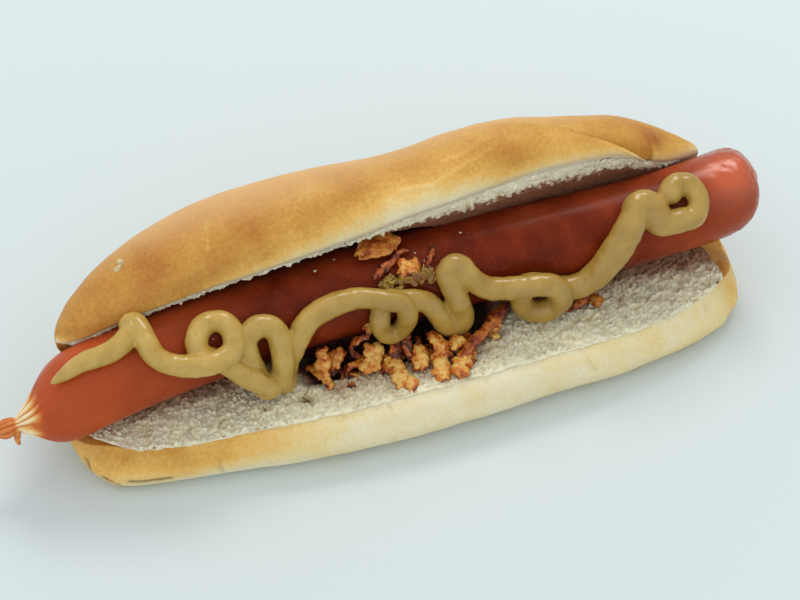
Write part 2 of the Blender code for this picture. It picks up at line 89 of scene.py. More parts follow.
# The sections in the middle, (y, z): crust from the rim or lip to the hinge, then crumb back again
HEEL_CRUST = ((15, 18), (11.6, 15.2), (9.8, 9.5), (12, 3.4), (18.4, -0.6), (43, -2),
              (66, -0.8), (73.5, 4), (76.5, 11), (76.8, 18), (73, 25.5))
HEEL_CRUMB = ((73, 25.5), (61, 24), (54, 18.6), (46, 17), (34, 17.4), (24, 18),
              (15, 18))
CROWN_CRUST = ((50, 52), (48.4, 55.5), (50.5, 61), (58.5, 65.8), (68.5, 64.2), (76.5, 56),
               (80, 44), (79.8, 33), (76.5, 24.5))
CROWN_CRUMB = ((76.5, 24.5), (67, 20), (61, 25), (60.8, 32), (59, 39), (55, 45.5),
               (50, 52))
CROWN_LIP, CROWN_APEX, CROWN_HINGE = (50, 52), (68.5, 64.2), (76.5, 24.5)
# Where those three points lie along the roll: x, y, z
LIP_LINE = ((-98, 48.5, 35), (-80, 48.7, 41), (-54, 47.8, 46), (-17, 48.8, 49),
            (20, 52, 50.8), (55, 53.5, 51.6), (76, 53.2, 49), (84, 53.2, 44.5),
            (98, 55, 38.5))
APEX_LINE = ((-98, 63, 42), (-80, 65.5, 49.5), (-54, 67.5, 58), (-17, 69, 59.8),
             (10, 70.3, 57.2), (28, 71.3, 58.8), (40, 71.8, 59.3), (48, 72.3, 58.4),
             (57, 72.5, 55.8), (66, 72.4, 53.6), (80, 72, 51), (98, 68, 45))
HINGE_LINE = ((-98, 70, 13.5), (-80, 73.5, 18.5), (-50, 75.5, 22), (0, 76.5, 24),
              (50, 75.5, 22.5), (80, 73.5, 19), (98, 70, 14.5))
CROWN_NOSES = ((55, 34), (60, 37))
# The crease where the dome's front flap folds over its right end: x, how far round the dome
FOLD_LINE = ((26, 0.40), (40, 0.36), (55, 0.27), (70, 0.14), (84, 0))
FOLD_DEPTH, FOLD_WIDTH, FOLD_LIP, FOLD_RUN_IN = 3.4, 7, 0.6, 25

# The frankfurter
LINK_RADIUS = 12.5
LINK_AXIS = ((-121, 40, 20.3), (-114, 40.6, 20.7), (-108, 41.1, 21.6), (-102, 41.6, 23.4),
             (-94, 42.3, 25.6), (-54, 46.4, 29.3), (-19, 48.2, 30), (30, 47.5, 30.2),
             (68, 45.5, 30.4), (98, 45.6, 31.8), (114, 46.4, 34))
LINK_LEFT, LINK_SHOULDER, LINK_RIGHT, LINK_AROUND = -121, -84, 112.7, 108
LINK_DOME, LINK_DOME_POWER = 12.5, 3.2
LINK_NECK = ((-121, 1.2), (-117, 1.6), (-114.5, 2.3), (-112, 3.3), (-109.5, 4.9), (-107, 7.3),
             (-104.5, 9.4), (-102, 10.9), (-98, 12.1), (-92, 12.5))

# The mustard: arcs of the rope's centre line, laid from right to left on the frankfurter's unrolled
# skin: centre x, centre t, radius along x, radius along t, start and end angle in degrees, where t is
# the way down the front from the top line. A single point has radii of 0. Then how thick the rope is,
# how deep it sinks into what it lies on, and how strands stack where they cross
ROPE_ARCS = (
    (85.6, 10, 4.3, 5.3, 180, -110),
    (73.2, 12, 3.5, 4.7, -20, 160),
    (60.5, 20.5, 0, 0, 0, 0),
    (49.5, 23, 7, 5.7, -35, -110),
    (39.3, 28.6, 5.4, 6.6, 135, 435),
    (24, 21.4, 0, 0, 0, 0),
    (15.4, 14.9, 2.6, 2.8, 0, 190),
    (13.8, 30.4, 2.6, 3.2, 20, -150),
    (5.5, 21.4, 0, 0, 0, 0),
    (-4.8, 23.8, 3.8, 6.8, 60, 455),
    (-20, 32, 17, 18.5, 75, 172),
    (-38.3, 34.2, 0.9, 1.6, 0, -180),
    (-43.6, 18.5, 4.8, 4.8, 10, 180),
    (-44, 32.2, 1.2, 1.6, 180, 360),
    (-56.8, 13, 5.2, 5.3, 250, -50),
    (-67, 16.6, 0, 0, 0, 0),
    (-74, 11.4, 0, 0, 0, 0),
    (-77.2, 1.4, 1.2, 3, 0, 180),
    (-84.5, 4.6, 0, 0, 0, 0),
    (-94.4, 3.6, 0, 0, 0, 0),
    (-103.5, 4.2, 0, 0, 0, 0),
)
ROPE_MEAN, ROPE_SINK, ROPE_STACK, ROPE_CROSSING = 3.3, 0.85, 5, 12
ROPE_RADII = ((-103, 1.4), (-97, 2.4), (-88, 3), (-60, 3.2), (-14, 3.2), (-5, 2.9),
              (5, 3.2), (30, 3.4), (52, 3.7), (62, 4.4), (74, 4.2), (90, 3.3))
ROPE_POINTS = 900

# How finely the roll is made: strips along it, round its crust and round its crumb; and how closely the
# strips crowd at its blunt ends. How finely a piece of onion is made
ROLL_ALONG, CRUST_AROUND, CRUMB_AROUND, END_CROWDING = 419, 125, 110, 0.05
CRISP_CELL = 0.36

# Where the roll's coordinates lie in the frame: the frankfurter's left tip and the roll's front side
ROLL_FRONT = 9.83
PLACE = Vector((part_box("sausage")[0].x / MM - LINK_LEFT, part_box("bun")[0].y / MM - ROLL_FRONT, 0))

# ---------------------------------------------------------------------------------------------------
# Curves and sections


def smooth(x, keys):
    """Values at x of a smooth curve through keys, rows of (place, value, ...)."""
    rows = np.asarray(keys, float)
    places, values = rows[:, 0], rows[:, 1:]
    slopes = np.gradient(values, places, axis=0)
    x = min(max(x, places[0]), places[-1])
    i = int(min(max(np.searchsorted(places, x) - 1, 0), len(places) - 2))
    span = places[i + 1] - places[i]
    t = (x - places[i]) / span
    return ((2 * t**3 - 3 * t**2 + 1) * values[i] + (t**3 - 2 * t**2 + t) * span * slopes[i]
            + (3 * t**2 - 2 * t**3) * values[i + 1] + (t**3 - t**2) * span * slopes[i + 1])


def along(points, count):
    """count points evenly spaced along a smooth curve through the given points."""
    points = np.asarray(points, float)
    steps = np.linalg.norm(np.diff(points, axis=0), axis=1) ** 0.5
    places = np.concatenate([[0], np.cumsum(steps)])
    keys = np.column_stack([places, points])
    fine = np.array([smooth(s, keys) for s in np.linspace(0, places[-1], 12 * len(points))])
    run = np.concatenate([[0], np.cumsum(np.linalg.norm(np.diff(fine, axis=0), axis=1))])
    wanted = np.linspace(0, run[-1], count)
    return np.column_stack([np.interp(wanted, run, fine[:, k]) for k in range(fine.shape[1])])


def between(ends, u):
    """The place between two ends at u, from -1 to 1."""
    return (ends[0] + ends[1]) / 2 + (ends[1] - ends[0]) / 2 * u


def narrowing(u, power):
    """How wide the roll is at u, from 1 in its middle to 0 at its ends."""
    return sqrt(max(0, 1 - abs(u) ** power))


def step(low, high, values):
    """0 below low, 1 above high, and a smooth rise between them."""
    share = np.clip((values - low) / (high - low), 0, 1)
    return share * share * (3 - 2 * share)


def graded(x, keys):
    """Values of a line through keys (place, value) at every x."""
    places, values = np.asarray(keys, float).T
    return np.interp(x, places, values)


def heel_section(middle, u):
    """The lower half's section at u, from its section in the middle."""
    x = between(HEEL_ENDS, u)
    points = middle.copy()
    front = (HEEL_AXIS - float(smooth(x, FRONT_LINE)[0])) / (HEEL_AXIS - middle[:, 0].min())
    front *= narrowing(u, HEEL_BLUNT_FRONT)
    reach = np.where(points[:, 0] < HEEL_AXIS, front, narrowing(u, HEEL_BLUNT_BACK))
    points[:, 0] = HEEL_AXIS + (points[:, 0] - HEEL_AXIS) * reach
    sunk = points[:, 1] * (1 - HEEL_SINK * abs(u) ** 1.6)
    points[:, 1] = HEEL_NOSE + (sunk - HEEL_NOSE) * narrowing(u, HEEL_BLUNT_HEIGHT)
    away = np.concatenate([[0], np.cumsum(np.linalg.norm(np.diff(middle, axis=0), axis=1))])
    back = away[-1] + np.linalg.norm(middle[-1] - middle[0]) - away
    pull = np.exp(-((away / 9.1) ** 2)) + np.exp(-((back / 18.5) ** 2))
    points += pull[:, None] * (smooth(x, RIM_LINE) - points[0])
    points[:, 1] = np.maximum(points[:, 1], 0)
    return points


def crown_section(middle, u):
    """The upper half's section at u, from its section in the middle."""
    x = between(CROWN_ENDS, u)
    placed = [smooth(x, line) for line in (LIP_LINE, APEX_LINE, HINGE_LINE)]
    corners = np.column_stack([np.array((CROWN_LIP, CROWN_APEX, CROWN_HINGE)), np.ones(3)])
    carry = np.linalg.solve(corners, np.array(placed))
    points = np.column_stack([middle, np.ones(len(middle))]) @ carry
    nose = np.array(CROWN_NOSES[int(u > 0)])
    return nose + (points - nose) * narrowing(u, CROWN_BLUNT[int(u > 0)])


def folded(points, x, crust_count, arc):
    """Sinks the dome's crust along the crease, deepest just behind the front flap."""
    start, end = FOLD_LINE[0][0], FOLD_LINE[-1][0]
    if not start < x < end:
        return points
    crease = float(smooth(x, FOLD_LINE)[0])
    depth = FOLD_DEPTH * min(1, (x - start) / FOLD_RUN_IN)
    behind = (np.arange(crust_count) / (crust_count - 1) - crease) * arc
    sink = depth * np.where(behind > 0, np.exp(-np.abs(behind) / FOLD_WIDTH),
                            np.exp(-np.abs(behind) / FOLD_LIP))
    inward = points.mean(axis=0) - points[:crust_count]
    inward /= np.linalg.norm(inward, axis=1)[:, None]
    points[:crust_count] += inward * sink[:, None]
    return points


def link_radius(x):
    """The frankfurter's radius: a tied neck and tail at the left, a blunt dome at the right."""
    if x < LINK_NECK[-1][0]:
        return float(smooth(x, LINK_NECK)[0])
    dome = max(0, (x - (LINK_RIGHT - LINK_DOME)) / LINK_DOME)
    return LINK_RADIUS * sqrt(max(0, 1 - dome**LINK_DOME_POWER))


def crown_at(middle, u):
    """The upper half's section at u, with the crease of its folded flap."""
    return folded(crown_section(middle, u), between(CROWN_ENDS, u), CRUST_AROUND, 75)


def on_skin(x, t, height):
    """The point a height above the frankfurter's skin, or above the crumb where t reaches it."""
    y, z = smooth(x, LINK_AXIS)
    reach = LINK_RADIUS + height
    quarter = (LINK_RADIUS + ROPE_MEAN) * pi / 2
    if t <= quarter:
        turn = t / (LINK_RADIUS + ROPE_MEAN)
        return Vector((x, y - reach * sin(turn), z + reach * cos(turn)))
    drop = t - quarter
    floor = crumb_height(x) + height
    forward = max(0, floor - (z - drop))
    return Vector((x, y - reach - forward, max(z - drop, floor)))


def crumb_height(x):
    """Z of the lower half's cut face in front of the frankfurter."""
    return float(smooth(x, RIM_LINE)[1]) - 0.4


# ---------------------------------------------------------------------------------------------------
# Making pieces


def lumps(points, size, seed=0, octaves=3):
    """Smooth noise of about -1 to 1 at each point, in lumps of the given size."""
    shift = Vector((seed * 17.3, seed * 5.1, seed * 2.7))
    return np.array([noise.fractal(Vector(p) / size + shift, 1, 2, octaves) for p in points])


def bubbles(points, size, seed=0):
    """How far each point is inside a bubble of the given size: 0 at the walls, about 1 in the middle."""
    shift = Vector((seed * 11.9, seed * 3.7, seed * 8.3))
    found = np.array([noise.voronoi(Vector(p) / size + shift)[0][:2] for p in points])
    return np.clip((found[:, 1] - found[:, 0]) * 1.4, 0, 1)


def tufts(points, size, seed=0):
    """Rounded bumps of the given size, 1 on their tops and 0 in the clefts between them."""
    shift = Vector((seed * 9.1, seed * 4.3, seed * 6.7))
    found = np.array([noise.voronoi(Vector(p) / size + shift)[0][0] for p in points])
    return np.clip(1 - (found / 0.8) ** 2, 0, 1)


def nearness(points, path, width):
    """1 on a path of 3-D points, falling to 0 over the width on each side."""
    path = np.asarray(path, float)
    best = np.full(len(points), 1e9)
    for one, other in zip(path, path[1:]):
        run = other - one
        t = np.clip((points - one) @ run / (run @ run), 0, 1)
        best = np.minimum(best, np.linalg.norm(points - one - t[:, None] * run, axis=1))
    return np.exp(-((best / width) ** 2))


def spots(points, places):
    """The sum of soft round spots, each (x, y, z, radius, strength)."""
    total = np.zeros(len(points))
    for x, y, z, radius, strength in places:
        away = np.linalg.norm(points - (x, y, z), axis=1)
        total += strength * np.exp(-((away / radius) ** 2))
    return total


def points_of(mesh):
    """The vertices of a bmesh as an array, and their normals."""
    mesh.normal_update()
    return (np.array([vert.co for vert in mesh.verts], float),
            np.array([vert.normal for vert in mesh.verts], float))


def move(mesh, points):
    """Puts the vertices of a bmesh at the points."""
    for vert, point in zip(mesh.verts, points):
        vert.co = point


def skin(stations, turns, place_of):
    """A closed skin: a UV sphere whose vertex at each station along X and turn round it is moved."""
    mesh = bmesh.new()
    bmesh.ops.create_uvsphere(mesh, u_segments=turns, v_segments=stations, radius=1.0)
    where = np.empty((len(mesh.verts), 2), int)
    for i, vert in enumerate(mesh.verts):
        station = round(acos(max(-1, min(1, vert.co.z))) / pi * stations)
        turn = round(atan2(vert.co.y, vert.co.x) / (2 * pi) * turns) % turns
        where[i] = station, turn
    move(mesh, [place_of[station, turn] for station, turn in where])
    bmesh.ops.recalc_face_normals(mesh, faces=mesh.faces)
    return mesh, where


def keep(mesh, name, values):
    """Stores one number for each vertex, for a material to read."""
    layer = mesh.verts.layers.float.get(name) or mesh.verts.layers.float.new(name)
    for vert, value in zip(mesh.verts, values):
        vert[layer] = float(value)


def piece(name, mesh, paint, slot, *nodes):
    """Makes the object of a bmesh in roll coordinates, puts it in the frame and hides what it replaces."""
    bmesh.ops.translate(mesh, vec=PLACE, verts=mesh.verts)
    bmesh.ops.scale(mesh, vec=(MM, MM, MM), verts=mesh.verts)
    data = bpy.data.meshes.new(name)
    mesh.to_mesh(data)
    mesh.free()
    data.shade_smooth()
    data.materials.append(paint)
    thing = bpy.data.objects.new(name, data)
    bpy.context.scene.collection.objects.link(thing)
    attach(thing, "root")
    if nodes:
        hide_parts(*nodes)
    return thing


def lump(mesh, centre, size, seed, finish, detail, rough):
    """Adds a small uneven lump to a bmesh, and stores its finish."""
    made = bmesh.ops.create_icosphere(mesh, subdivisions=detail, radius=1.0)["verts"]
    layer = mesh.verts.layers.float["finish"]
    turn = Euler((seed * 1.7, seed * 2.3, seed * 0.9)).to_matrix()
    for vert in made:
        swell = 1 + rough * noise.noise(vert.co * 1.3 + Vector((seed * 3.1, seed, 0)))
        spot = vert.co * swell
        vert.co = Vector(centre) + turn @ Vector((spot.x * size[0], spot.y * size[1], spot.z * size[2])) / 2
        vert[layer] = finish


def crisp(mesh, place, turns, size, curl, cup, twist, ragged, finish, seed, puff):
    """Adds a fried onion piece: a ragged strip of the given length, width and thickness, curled along
    itself, cupped across, twisted, and puffed up by its batter. finish is how dark it has fried."""
    length, width, thickness = size[0], size[1], 0.75 * size[2]
    first = len(mesh.verts)
    columns, rows = max(8, round(length / CRISP_CELL)), max(5, round(width / CRISP_CELL))
    oval = length < 2 * width
    rim, wander = (0.35, 0.35) if ragged > 0.2 else (-0.35, 0.06)
    layer = mesh.verts.layers.float["finish"]
    sheet = bmesh.ops.create_grid(mesh, x_segments=columns, y_segments=rows, size=1.0)["verts"]
    for vert in sheet:
        u, v = vert.co.x, vert.co.y
        edge = noise.noise(Vector((u * 2.2, 4 * (v > 0), seed * 3.3)))
        edge += 0.6 * noise.noise(Vector((u * 6, 4 * (v > 0), seed * 1.9)))
        edge += 0.3 * noise.noise(Vector((u * length * 1.1, 4 * (v > 0), seed * 2.7)))
        profile = sqrt(max(0, 1 - 0.96 * u * u)) if oval else 1 - 0.55 * u**4
        half = width / 2 * profile * max(0.2, 1 + ragged * 1.5 * edge)
        end = 1 + 0.35 * ragged * noise.noise(Vector((5 * (u > 0), v * 2, seed * 2.1)))
        sway = wander * width * noise.noise(Vector((u * 1.4, 9, seed * 1.3)))
        x, y = u * end * length / 2, v * half + sway
        z = -cup * width * v * v + 0.12 * width * noise.noise(Vector((u * 2.5, v * 1.5, seed)))
        if abs(curl) > 0.01:
            radius = length / 2 / curl
            x, z = (radius + z) * sin(x / radius), (radius + z) * cos(x / radius) - radius
        lean = twist * u
        vert.co = (x, y * cos(lean) - z * sin(lean), y * sin(lean) + z * cos(lean))
        vert[layer] = finish + rim * max(abs(u), abs(v)) ** 5
    faces = list({face for vert in sheet for face in vert.link_faces})
    bmesh.ops.recalc_face_normals(mesh, faces=faces)
    mesh.normal_update()
    grown = bmesh.ops.extrude_face_region(mesh, geom=faces, use_keep_orig=True)["geom"]
    for vert in grown:
        if isinstance(vert, bmesh.types.BMVert):
            vert.co += vert.normal * thickness
    mesh.verts.ensure_lookup_table()
    new = mesh.verts[first:]
    faces = list({face for vert in new for face in vert.link_faces})
    bmesh.ops.recalc_face_normals(mesh, faces=faces)
    bmesh.ops.smooth_vert(mesh, verts=new, factor=0.35, use_axis_x=True, use_axis_y=True,
                          use_axis_z=True)
    mesh.normal_update()
    shift = Vector((seed * 7.7, seed * 1.1, 0))
    grown = []
    for vert in new:
        batter = noise.fractal(vert.co + shift, 0.5, 2.1, 4)
        grown.append(vert.co + vert.normal * puff * (0.34 * batter + 0.05))
        vert[layer] += 0.5 * noise.noise(vert.co / 2.2 + shift) - 0.40 * batter
    turn = Euler([radians(a) for a in turns]).to_matrix()
    for vert, spot in zip(new, grown):
        vert.co = Vector(place) + turn @ spot


def strewn():
    """An empty bmesh for crisps or lumps, with the layer that holds how each is finished."""
    mesh = bmesh.new()
    mesh.verts.layers.float.new("finish")
    return mesh


def sweep(mesh, points, radii, sides, rings):
    """Adds a tapering rounded strand along a path to a bmesh, and gives its vertices."""
    path = along(points, rings + 1)
    girth = np.interp(np.linspace(0, 1, rings + 1), np.linspace(0, 1, len(radii)), radii)
    made = bmesh.ops.create_uvsphere(mesh, u_segments=sides, v_segments=rings, radius=1.0)["verts"]
    frames, side = [], None
    for i in range(rings + 1):
        ahead = Vector(path[min(i + 1, rings)]) - Vector(path[max(i - 1, 0)])
        ahead.normalize()
        side = ahead.orthogonal() if side is None else side - ahead * side.dot(ahead)
        side.normalize()
        frames.append((side.copy(), ahead.cross(side)))
    for vert in made:
        i = round(acos(max(-1, min(1, vert.co.z))) / pi * rings)
        turn = atan2(vert.co.y, vert.co.x)
        across = float(girth[i]) * (i not in (0, rings))
        one, other = frames[i]
        vert.co = Vector(path[i]) + across * (cos(turn) * one + sin(turn) * other)
    return made


# ---------------------------------------------------------------------------------------------------
# Materials


def node(tree, kind, inputs=(), stops=(), **settings):
    """Adds a shader node, with its settings, its ramp's stops and its inputs: values or sockets."""
    made = tree.nodes.new("ShaderNode" + kind)
    for name, value in settings.items():
        setattr(made, name, value)
    for i, (place, colour) in enumerate(stops):
        stop = made.color_ramp.elements[i] if i < 2 else made.color_ramp.elements.new(place)
        stop.position = place
        stop.color = (*linear(colour), 1)
    for socket, value in dict(inputs).items():
        if isinstance(value, bpy.types.NodeSocket):
            tree.links.new(value, made.inputs[socket])
        else:
            made.inputs[socket].default_value = value
    return made


def surface(name):
    """A new material with an empty tree, its tree, and the place on the object that it is asked for."""
    paint = bpy.data.materials.new(name)
    paint.use_nodes = True
    tree = paint.node_tree
    tree.nodes.clear()
    return paint, tree, node(tree, "TexCoord").outputs["Object"]


def worn(tree, inputs):
    """Finishes a material: a principled shader with these inputs, linked to its output."""
    shader = node(tree, "BsdfPrincipled", inputs)
    node(tree, "OutputMaterial", {"Surface": shader.outputs["BSDF"]})


def pitch(size):
    """The texture scale at which one feature is the given size in millimetres."""
    return 1 / (size * MM)


def stored(tree, name):
    """The number that the mesh holds under this name."""
    return node(tree, "Attribute", attribute_name=name).outputs["Fac"]


def blotches(tree, place, size, detail=2, rough=0.5):
    """Soft noise with features of the given size in mm."""
    return node(tree, "TexNoise", {"Vector": place, "Scale": pitch(size), "Detail": detail,
                                   "Roughness": rough}).outputs["Fac"]


def cells(tree, place, size, feature="F1"):
    """How far each place is from the middle of its cell, or from the cell's edge."""
    return node(tree, "TexVoronoi", {"Vector": place, "Scale": pitch(size)},
                feature=feature).outputs["Distance"]


def ranged(tree, value, low, high, start=0, end=1):
    """The value, carried from the range low to high into the range start to end."""
    return node(tree, "MapRange", {"Value": value, 1: low, 2: high, 3: start, 4: end}).outputs[0]


def maths(tree, operation, one, other, **settings):
    """Two numbers added, subtracted or multiplied."""
    return node(tree, "Math", {0: one, 1: other}, operation=operation, **settings).outputs[0]


def ramp(tree, value, stops):
    """The colour at the value, between stops of (value, colour)."""
    return node(tree, "ValToRGB", {"Fac": value}, stops).outputs["Color"]


def mixed(tree, share, one, other):
    """The first colour, mixed with a share of the other, a socket or a code such as '#DEAE7E'."""
    other = (*linear(other), 1) if isinstance(other, str) else other
    return node(tree, "Mix", {0: share, 6: one, 7: other}, data_type="RGBA").outputs[2]


def embossed(tree, height, strength, depth):
    """The direction the surface faces where it stands out by the height, of the given depth in mm."""
    return node(tree, "Bump", {"Height": height, "Strength": strength, "Distance": depth * MM}).outputs[0]


def pushed(tree, tone, texture, push):
    """The tone, moved up by as much as push where the noise texture is light and down where it is dark."""
    return maths(tree, "ADD", tone, ranged(tree, texture, 0.3, 0.7, -push, push))


def bread():
    """Milk roll: crust browned in the oven, from cream at the lip to gold and brown on the ends, with a
    fine dry grain; where it was cut and torn, greyish white crumb full of small open pores."""
    paint, tree, place = surface("milk roll, oven-baked and split")
    fine = blotches(tree, place, 1.1, 6, 0.7)
    baked = pushed(tree, pushed(tree, stored(tree, "bake"), fine, 0.09), blotches(tree, place, 9, 4), 0.065)
    crust = ramp(tree, baked, (
        (0, "#EADFC0"), (1, "#9E5E26"), (0.20, "#E8CE92"), (0.42, "#E3B25E"), (0.62, "#CA9442"),
        (0.82, "#B4742E")))
    # The dome's top mixed towards a pinkish pale: a painted sheen
    crust = mixed(tree, stored(tree, "blush"), crust, "#DEAE7E")
    # The crumb's colour darkens down in its pores, from these cells and the stored pore depth: painted
    # shade in the pores
    pores = ranged(tree, cells(tree, place, 1, "DISTANCE_TO_EDGE"), 0.05, 0.42)
    deep = maths(tree, "MULTIPLY", pores, 0.45)
    deep = maths(tree, "ADD", deep, stored(tree, "pore"), use_clamp=True)
    white = ramp(tree, deep, ((0, "#E2DAC6"), (1, "#A08F6E"), (0.5, "#CDC2A6")))
    # Crumb mixed towards dark brown: fat stains, and painted shade under the lip and the frankfurter
    stained = mixed(tree, stored(tree, "stain"), white, "#663420")
    both = mixed(tree, stored(tree, "crumb"), crust, stained)
    crust_facing = embossed(tree, fine, 0.35, 0.12)
    open_height = maths(tree, "SUBTRACT", blotches(tree, place, 0.45, 3), pores)
    crumb_facing = embossed(tree, open_height, 0.8, 0.35)
    facing = node(tree, "Mix", {0: stored(tree, "crumb"), 4: crust_facing, 5: crumb_facing},
                  data_type="VECTOR")
    worn(tree, {
        "Base Color": mixed(tree, stored(tree, "scorch"), both, "#5E2C12"), "Normal": facing.outputs[1],
        "Roughness": ranged(tree, stored(tree, "crumb"), 0, 1, 0.56, 0.92), "Specular IOR Level": 0.25,
        "Subsurface Weight": 0.22, "Subsurface Radius": (1, 0.55, 0.25), "Subsurface Scale": 1.6 * MM})
    return paint


def roll_paint():
    """The roll's material, made once for both halves."""
    return bpy.data.materials.get("milk roll, oven-baked and split") or bread()


def open_crumb():
    """Torn white crumb: a dry, woolly web of small cells, cream white on its walls and painted olive grey
    down in them as painted shade; brown where fat has stained it, and nearly black as painted shade in the
    hollow under the frankfurter."""
    paint, tree, place = surface("white crumb, torn open")
    grain = blotches(tree, place, 0.6, 4, 0.7)
    bent = node(tree, "Mix", {0: 0.0012, 4: place, 5: grain.node.outputs["Color"]}, data_type="VECTOR")
    # The colour darkens down in the cells and pores: painted shade in the pores
    hollow = ranged(tree, cells(tree, bent.outputs[1], 1.25, "DISTANCE_TO_EDGE"), 0.06, 0.38)
    much = ranged(tree, blotches(tree, place, 3.4), 0.40, 0.66, 0.08, 0.52)
    hollow = maths(tree, "MULTIPLY", hollow, much)
    deep = pushed(tree, stored(tree, "pore"), grain, -0.16)
    deep = maths(tree, "ADD", deep, hollow, use_clamp=True)
    white = ramp(tree, deep, (
        (0, "#FFF4D4"), (1, "#665230"), (0.48, "#FFF0CC"), (0.72, "#DECA9C"), (0.90, "#9E8A58")))
    # Brown where fat stained the crumb, nearly black as painted shade in the hollow under the frankfurter
    soaked = ramp(tree, stored(tree, "stain"), (
        (0, "#D8AE78"), (1, "#2E140A"), (0.55, "#A05A34"), (0.80, "#6A3218")))
    colour = mixed(tree, ranged(tree, stored(tree, "stain"), 0, 0.7, 0, 0.95), white, soaked)
    worn(tree, {
        "Base Color": colour, "Roughness": 0.95,
        "Normal": embossed(tree, maths(tree, "SUBTRACT", grain, hollow), 1, 0.55),
        "Specular IOR Level": 0.1, "Subsurface Weight": 0.4, "Subsurface Radius": (1, 0.85, 0.6),
        "Subsurface Scale": 0.9 * MM})
    return paint


def casing():
    """Smoked frankfurter: a taut brick-red casing, wet and shiny, a little light passing through the
    meat; paler towards its ends, partly its own colour and partly painted sheen, with a painted highlight
    on the right end's top; its tied left end is cream and orange where the casing is gathered, with
    painted highlights on its pleat ridges."""
    paint, tree, place = surface("smoked frankfurter in its casing, simmered")
    mottle, flecks = blotches(tree, place, 7, 5, 0.6), blotches(tree, place, 0.8, 3)
    meat = ramp(tree, mottle, ((0.25, "#5A1A09"), (0.75, "#7E2B0E"), (0.5, "#68200B")))
    # Paler towards both ends: partly the casing's own colour, partly painted sheen; a spot on the right
    # end's top is a painted highlight
    meat = mixed(tree, stored(tree, "pale"), meat, "#C4562A")
    meat = mixed(tree, ranged(tree, flecks, 0.62, 0.75, 0, 0.25), meat, "#BE6238")
    tied = ramp(tree, stored(tree, "tie"), (
        (0, "#B04A28"), (1, "#EFDDB4"), (0.30, "#CC6A32"), (0.60, "#E2A560"), (0.80, "#EBCB94")))
    worn(tree, {
        "Base Color": mixed(tree, ranged(tree, stored(tree, "tie"), 0.02, 0.30), meat, tied),
        "Roughness": ranged(tree, mottle, 0.3, 0.7, 0.24, 0.36),
        "Normal": embossed(tree, flecks, 0.16, 0.08), "Specular IOR Level": 0.08,
        "Coat Weight": ranged(tree, stored(tree, "shine"), 0, 1), "Coat Roughness": 0.24,
        "Subsurface Weight": 0.15, "Subsurface Radius": (1, 0.28, 0.12), "Subsurface Scale": 1.6 * MM})
    return paint


def mustard_paste():
    """Medium-hot mustard: a smooth, dull golden paste, wet on top, with a few specks of brown seed."""
    paint, tree, place = surface("mustard, ground smooth")
    base = ramp(tree, blotches(tree, place, 5, 4), ((0.3, "#B8923E"), (0.7, "#C8A456")))
    # Mixed darker and browner towards the middle and the right of the rope
    base = mixed(tree, stored(tree, "soaked"), base, "#8E6A28")
    seeds = ranged(tree, cells(tree, place, 1.6), 0.10, 0.16, 0.75, 0)
    few = ranged(tree, blotches(tree, place, 3.1), 0.52, 0.58)
    worn(tree, {
        "Base Color": mixed(tree, maths(tree, "MULTIPLY", seeds, few), base, "#7A5224"),
        "Roughness": 0.22, "Normal": embossed(tree, blotches(tree, place, 0.7, 3), 0.30, 0.12),
        "Subsurface Weight": 0.15, "Subsurface Radius": (1, 0.7, 0.25), "Subsurface Scale": 0.8 * MM})
    return paint


def bits(name, patches, push, stops, rough, bump, glow):
    """A material for small bits, each darker the further it is finished. patches are the size in mm of
    its uneven patches and their noise's detail and roughness, push is how far they shift its colour,
    rough its roughness from patch to patch, bump their strength and height in mm, and glow how much
    light passes into it, as which colour and how deep in mm."""
    paint, tree, place = surface(name)
    patch, tone = blotches(tree, place, *patches), stored(tree, "finish")
    worn(tree, {
        "Base Color": ramp(tree, pushed(tree, tone, patch, push) if push else tone, stops),
        "Roughness": ranged(tree, patch, 0.35, 0.65, *rough) if len(rough) == 2 else rough[0],
        "Normal": embossed(tree, patch, *bump), "Subsurface Weight": glow[0],
        "Subsurface Radius": glow[1], "Subsurface Scale": glow[2] * MM})
    return paint


def fried_onion(name, stops):
    """Onion fried crisp in flour: a rough, oily, blistered crust, gold where it is thick, nearly black
    on thin edges."""
    return bits(name, (1.1, 5, 0.7), 0.20, stops, (0.26, 0.55), (0.9, 0.32),
                (0.25, (1, 0.45, 0.12), 0.8))


def relish():
    """Chopped pickled cucumber: wet, glassy bits from olive yellow to amber and brown."""
    stops = ((0, "#B08E34"), (1, "#5A3412"), (0.4, "#8C6A2C"), (0.7, "#9A5E28"))
    return bits("pickle relish, chopped", (2, 4), 0.25, stops, (0.18,), (0.4, 0.25),
                (0.35, (1, 0.8, 0.3), 1))


def loose_crumb():
    """Crumbs torn from the roll: dry, greyish white, some of them with a little browned crust."""
    stops = ((0, "#E6DECA"), (1, "#C08A4C"), (0.5, "#D8C39A"))
    return bits("bread crumbs, torn off", (0.5, 3), 0, stops, (0.9,), (0.8, 0.2),
                (0.3, (1, 0.8, 0.5), 0.8))


def table_top():
    """A smooth, pale blue-grey laminate, matt."""
    paint, tree, _ = surface("laminate table top, matt")
    worn(tree, {"Base Color": (*linear("#D5DDDD"), 1), "Roughness": 0.75, "Specular IOR Level": 0.2})
    return paint


# How onion darkens as it fries, from golden to brown pieces
GOLDEN = ((0, "#E6B860"), (1, "#451607"), (0.28, "#DA9034"), (0.52, "#C46416"), (0.78, "#86320C"))
BROWN = ((0, "#CE8A38"), (1, "#3A1006"), (0.30, "#BC6820"), (0.55, "#A44616"), (0.80, "#70260C"))

# ---------------------------------------------------------------------------------------------------
# Settings


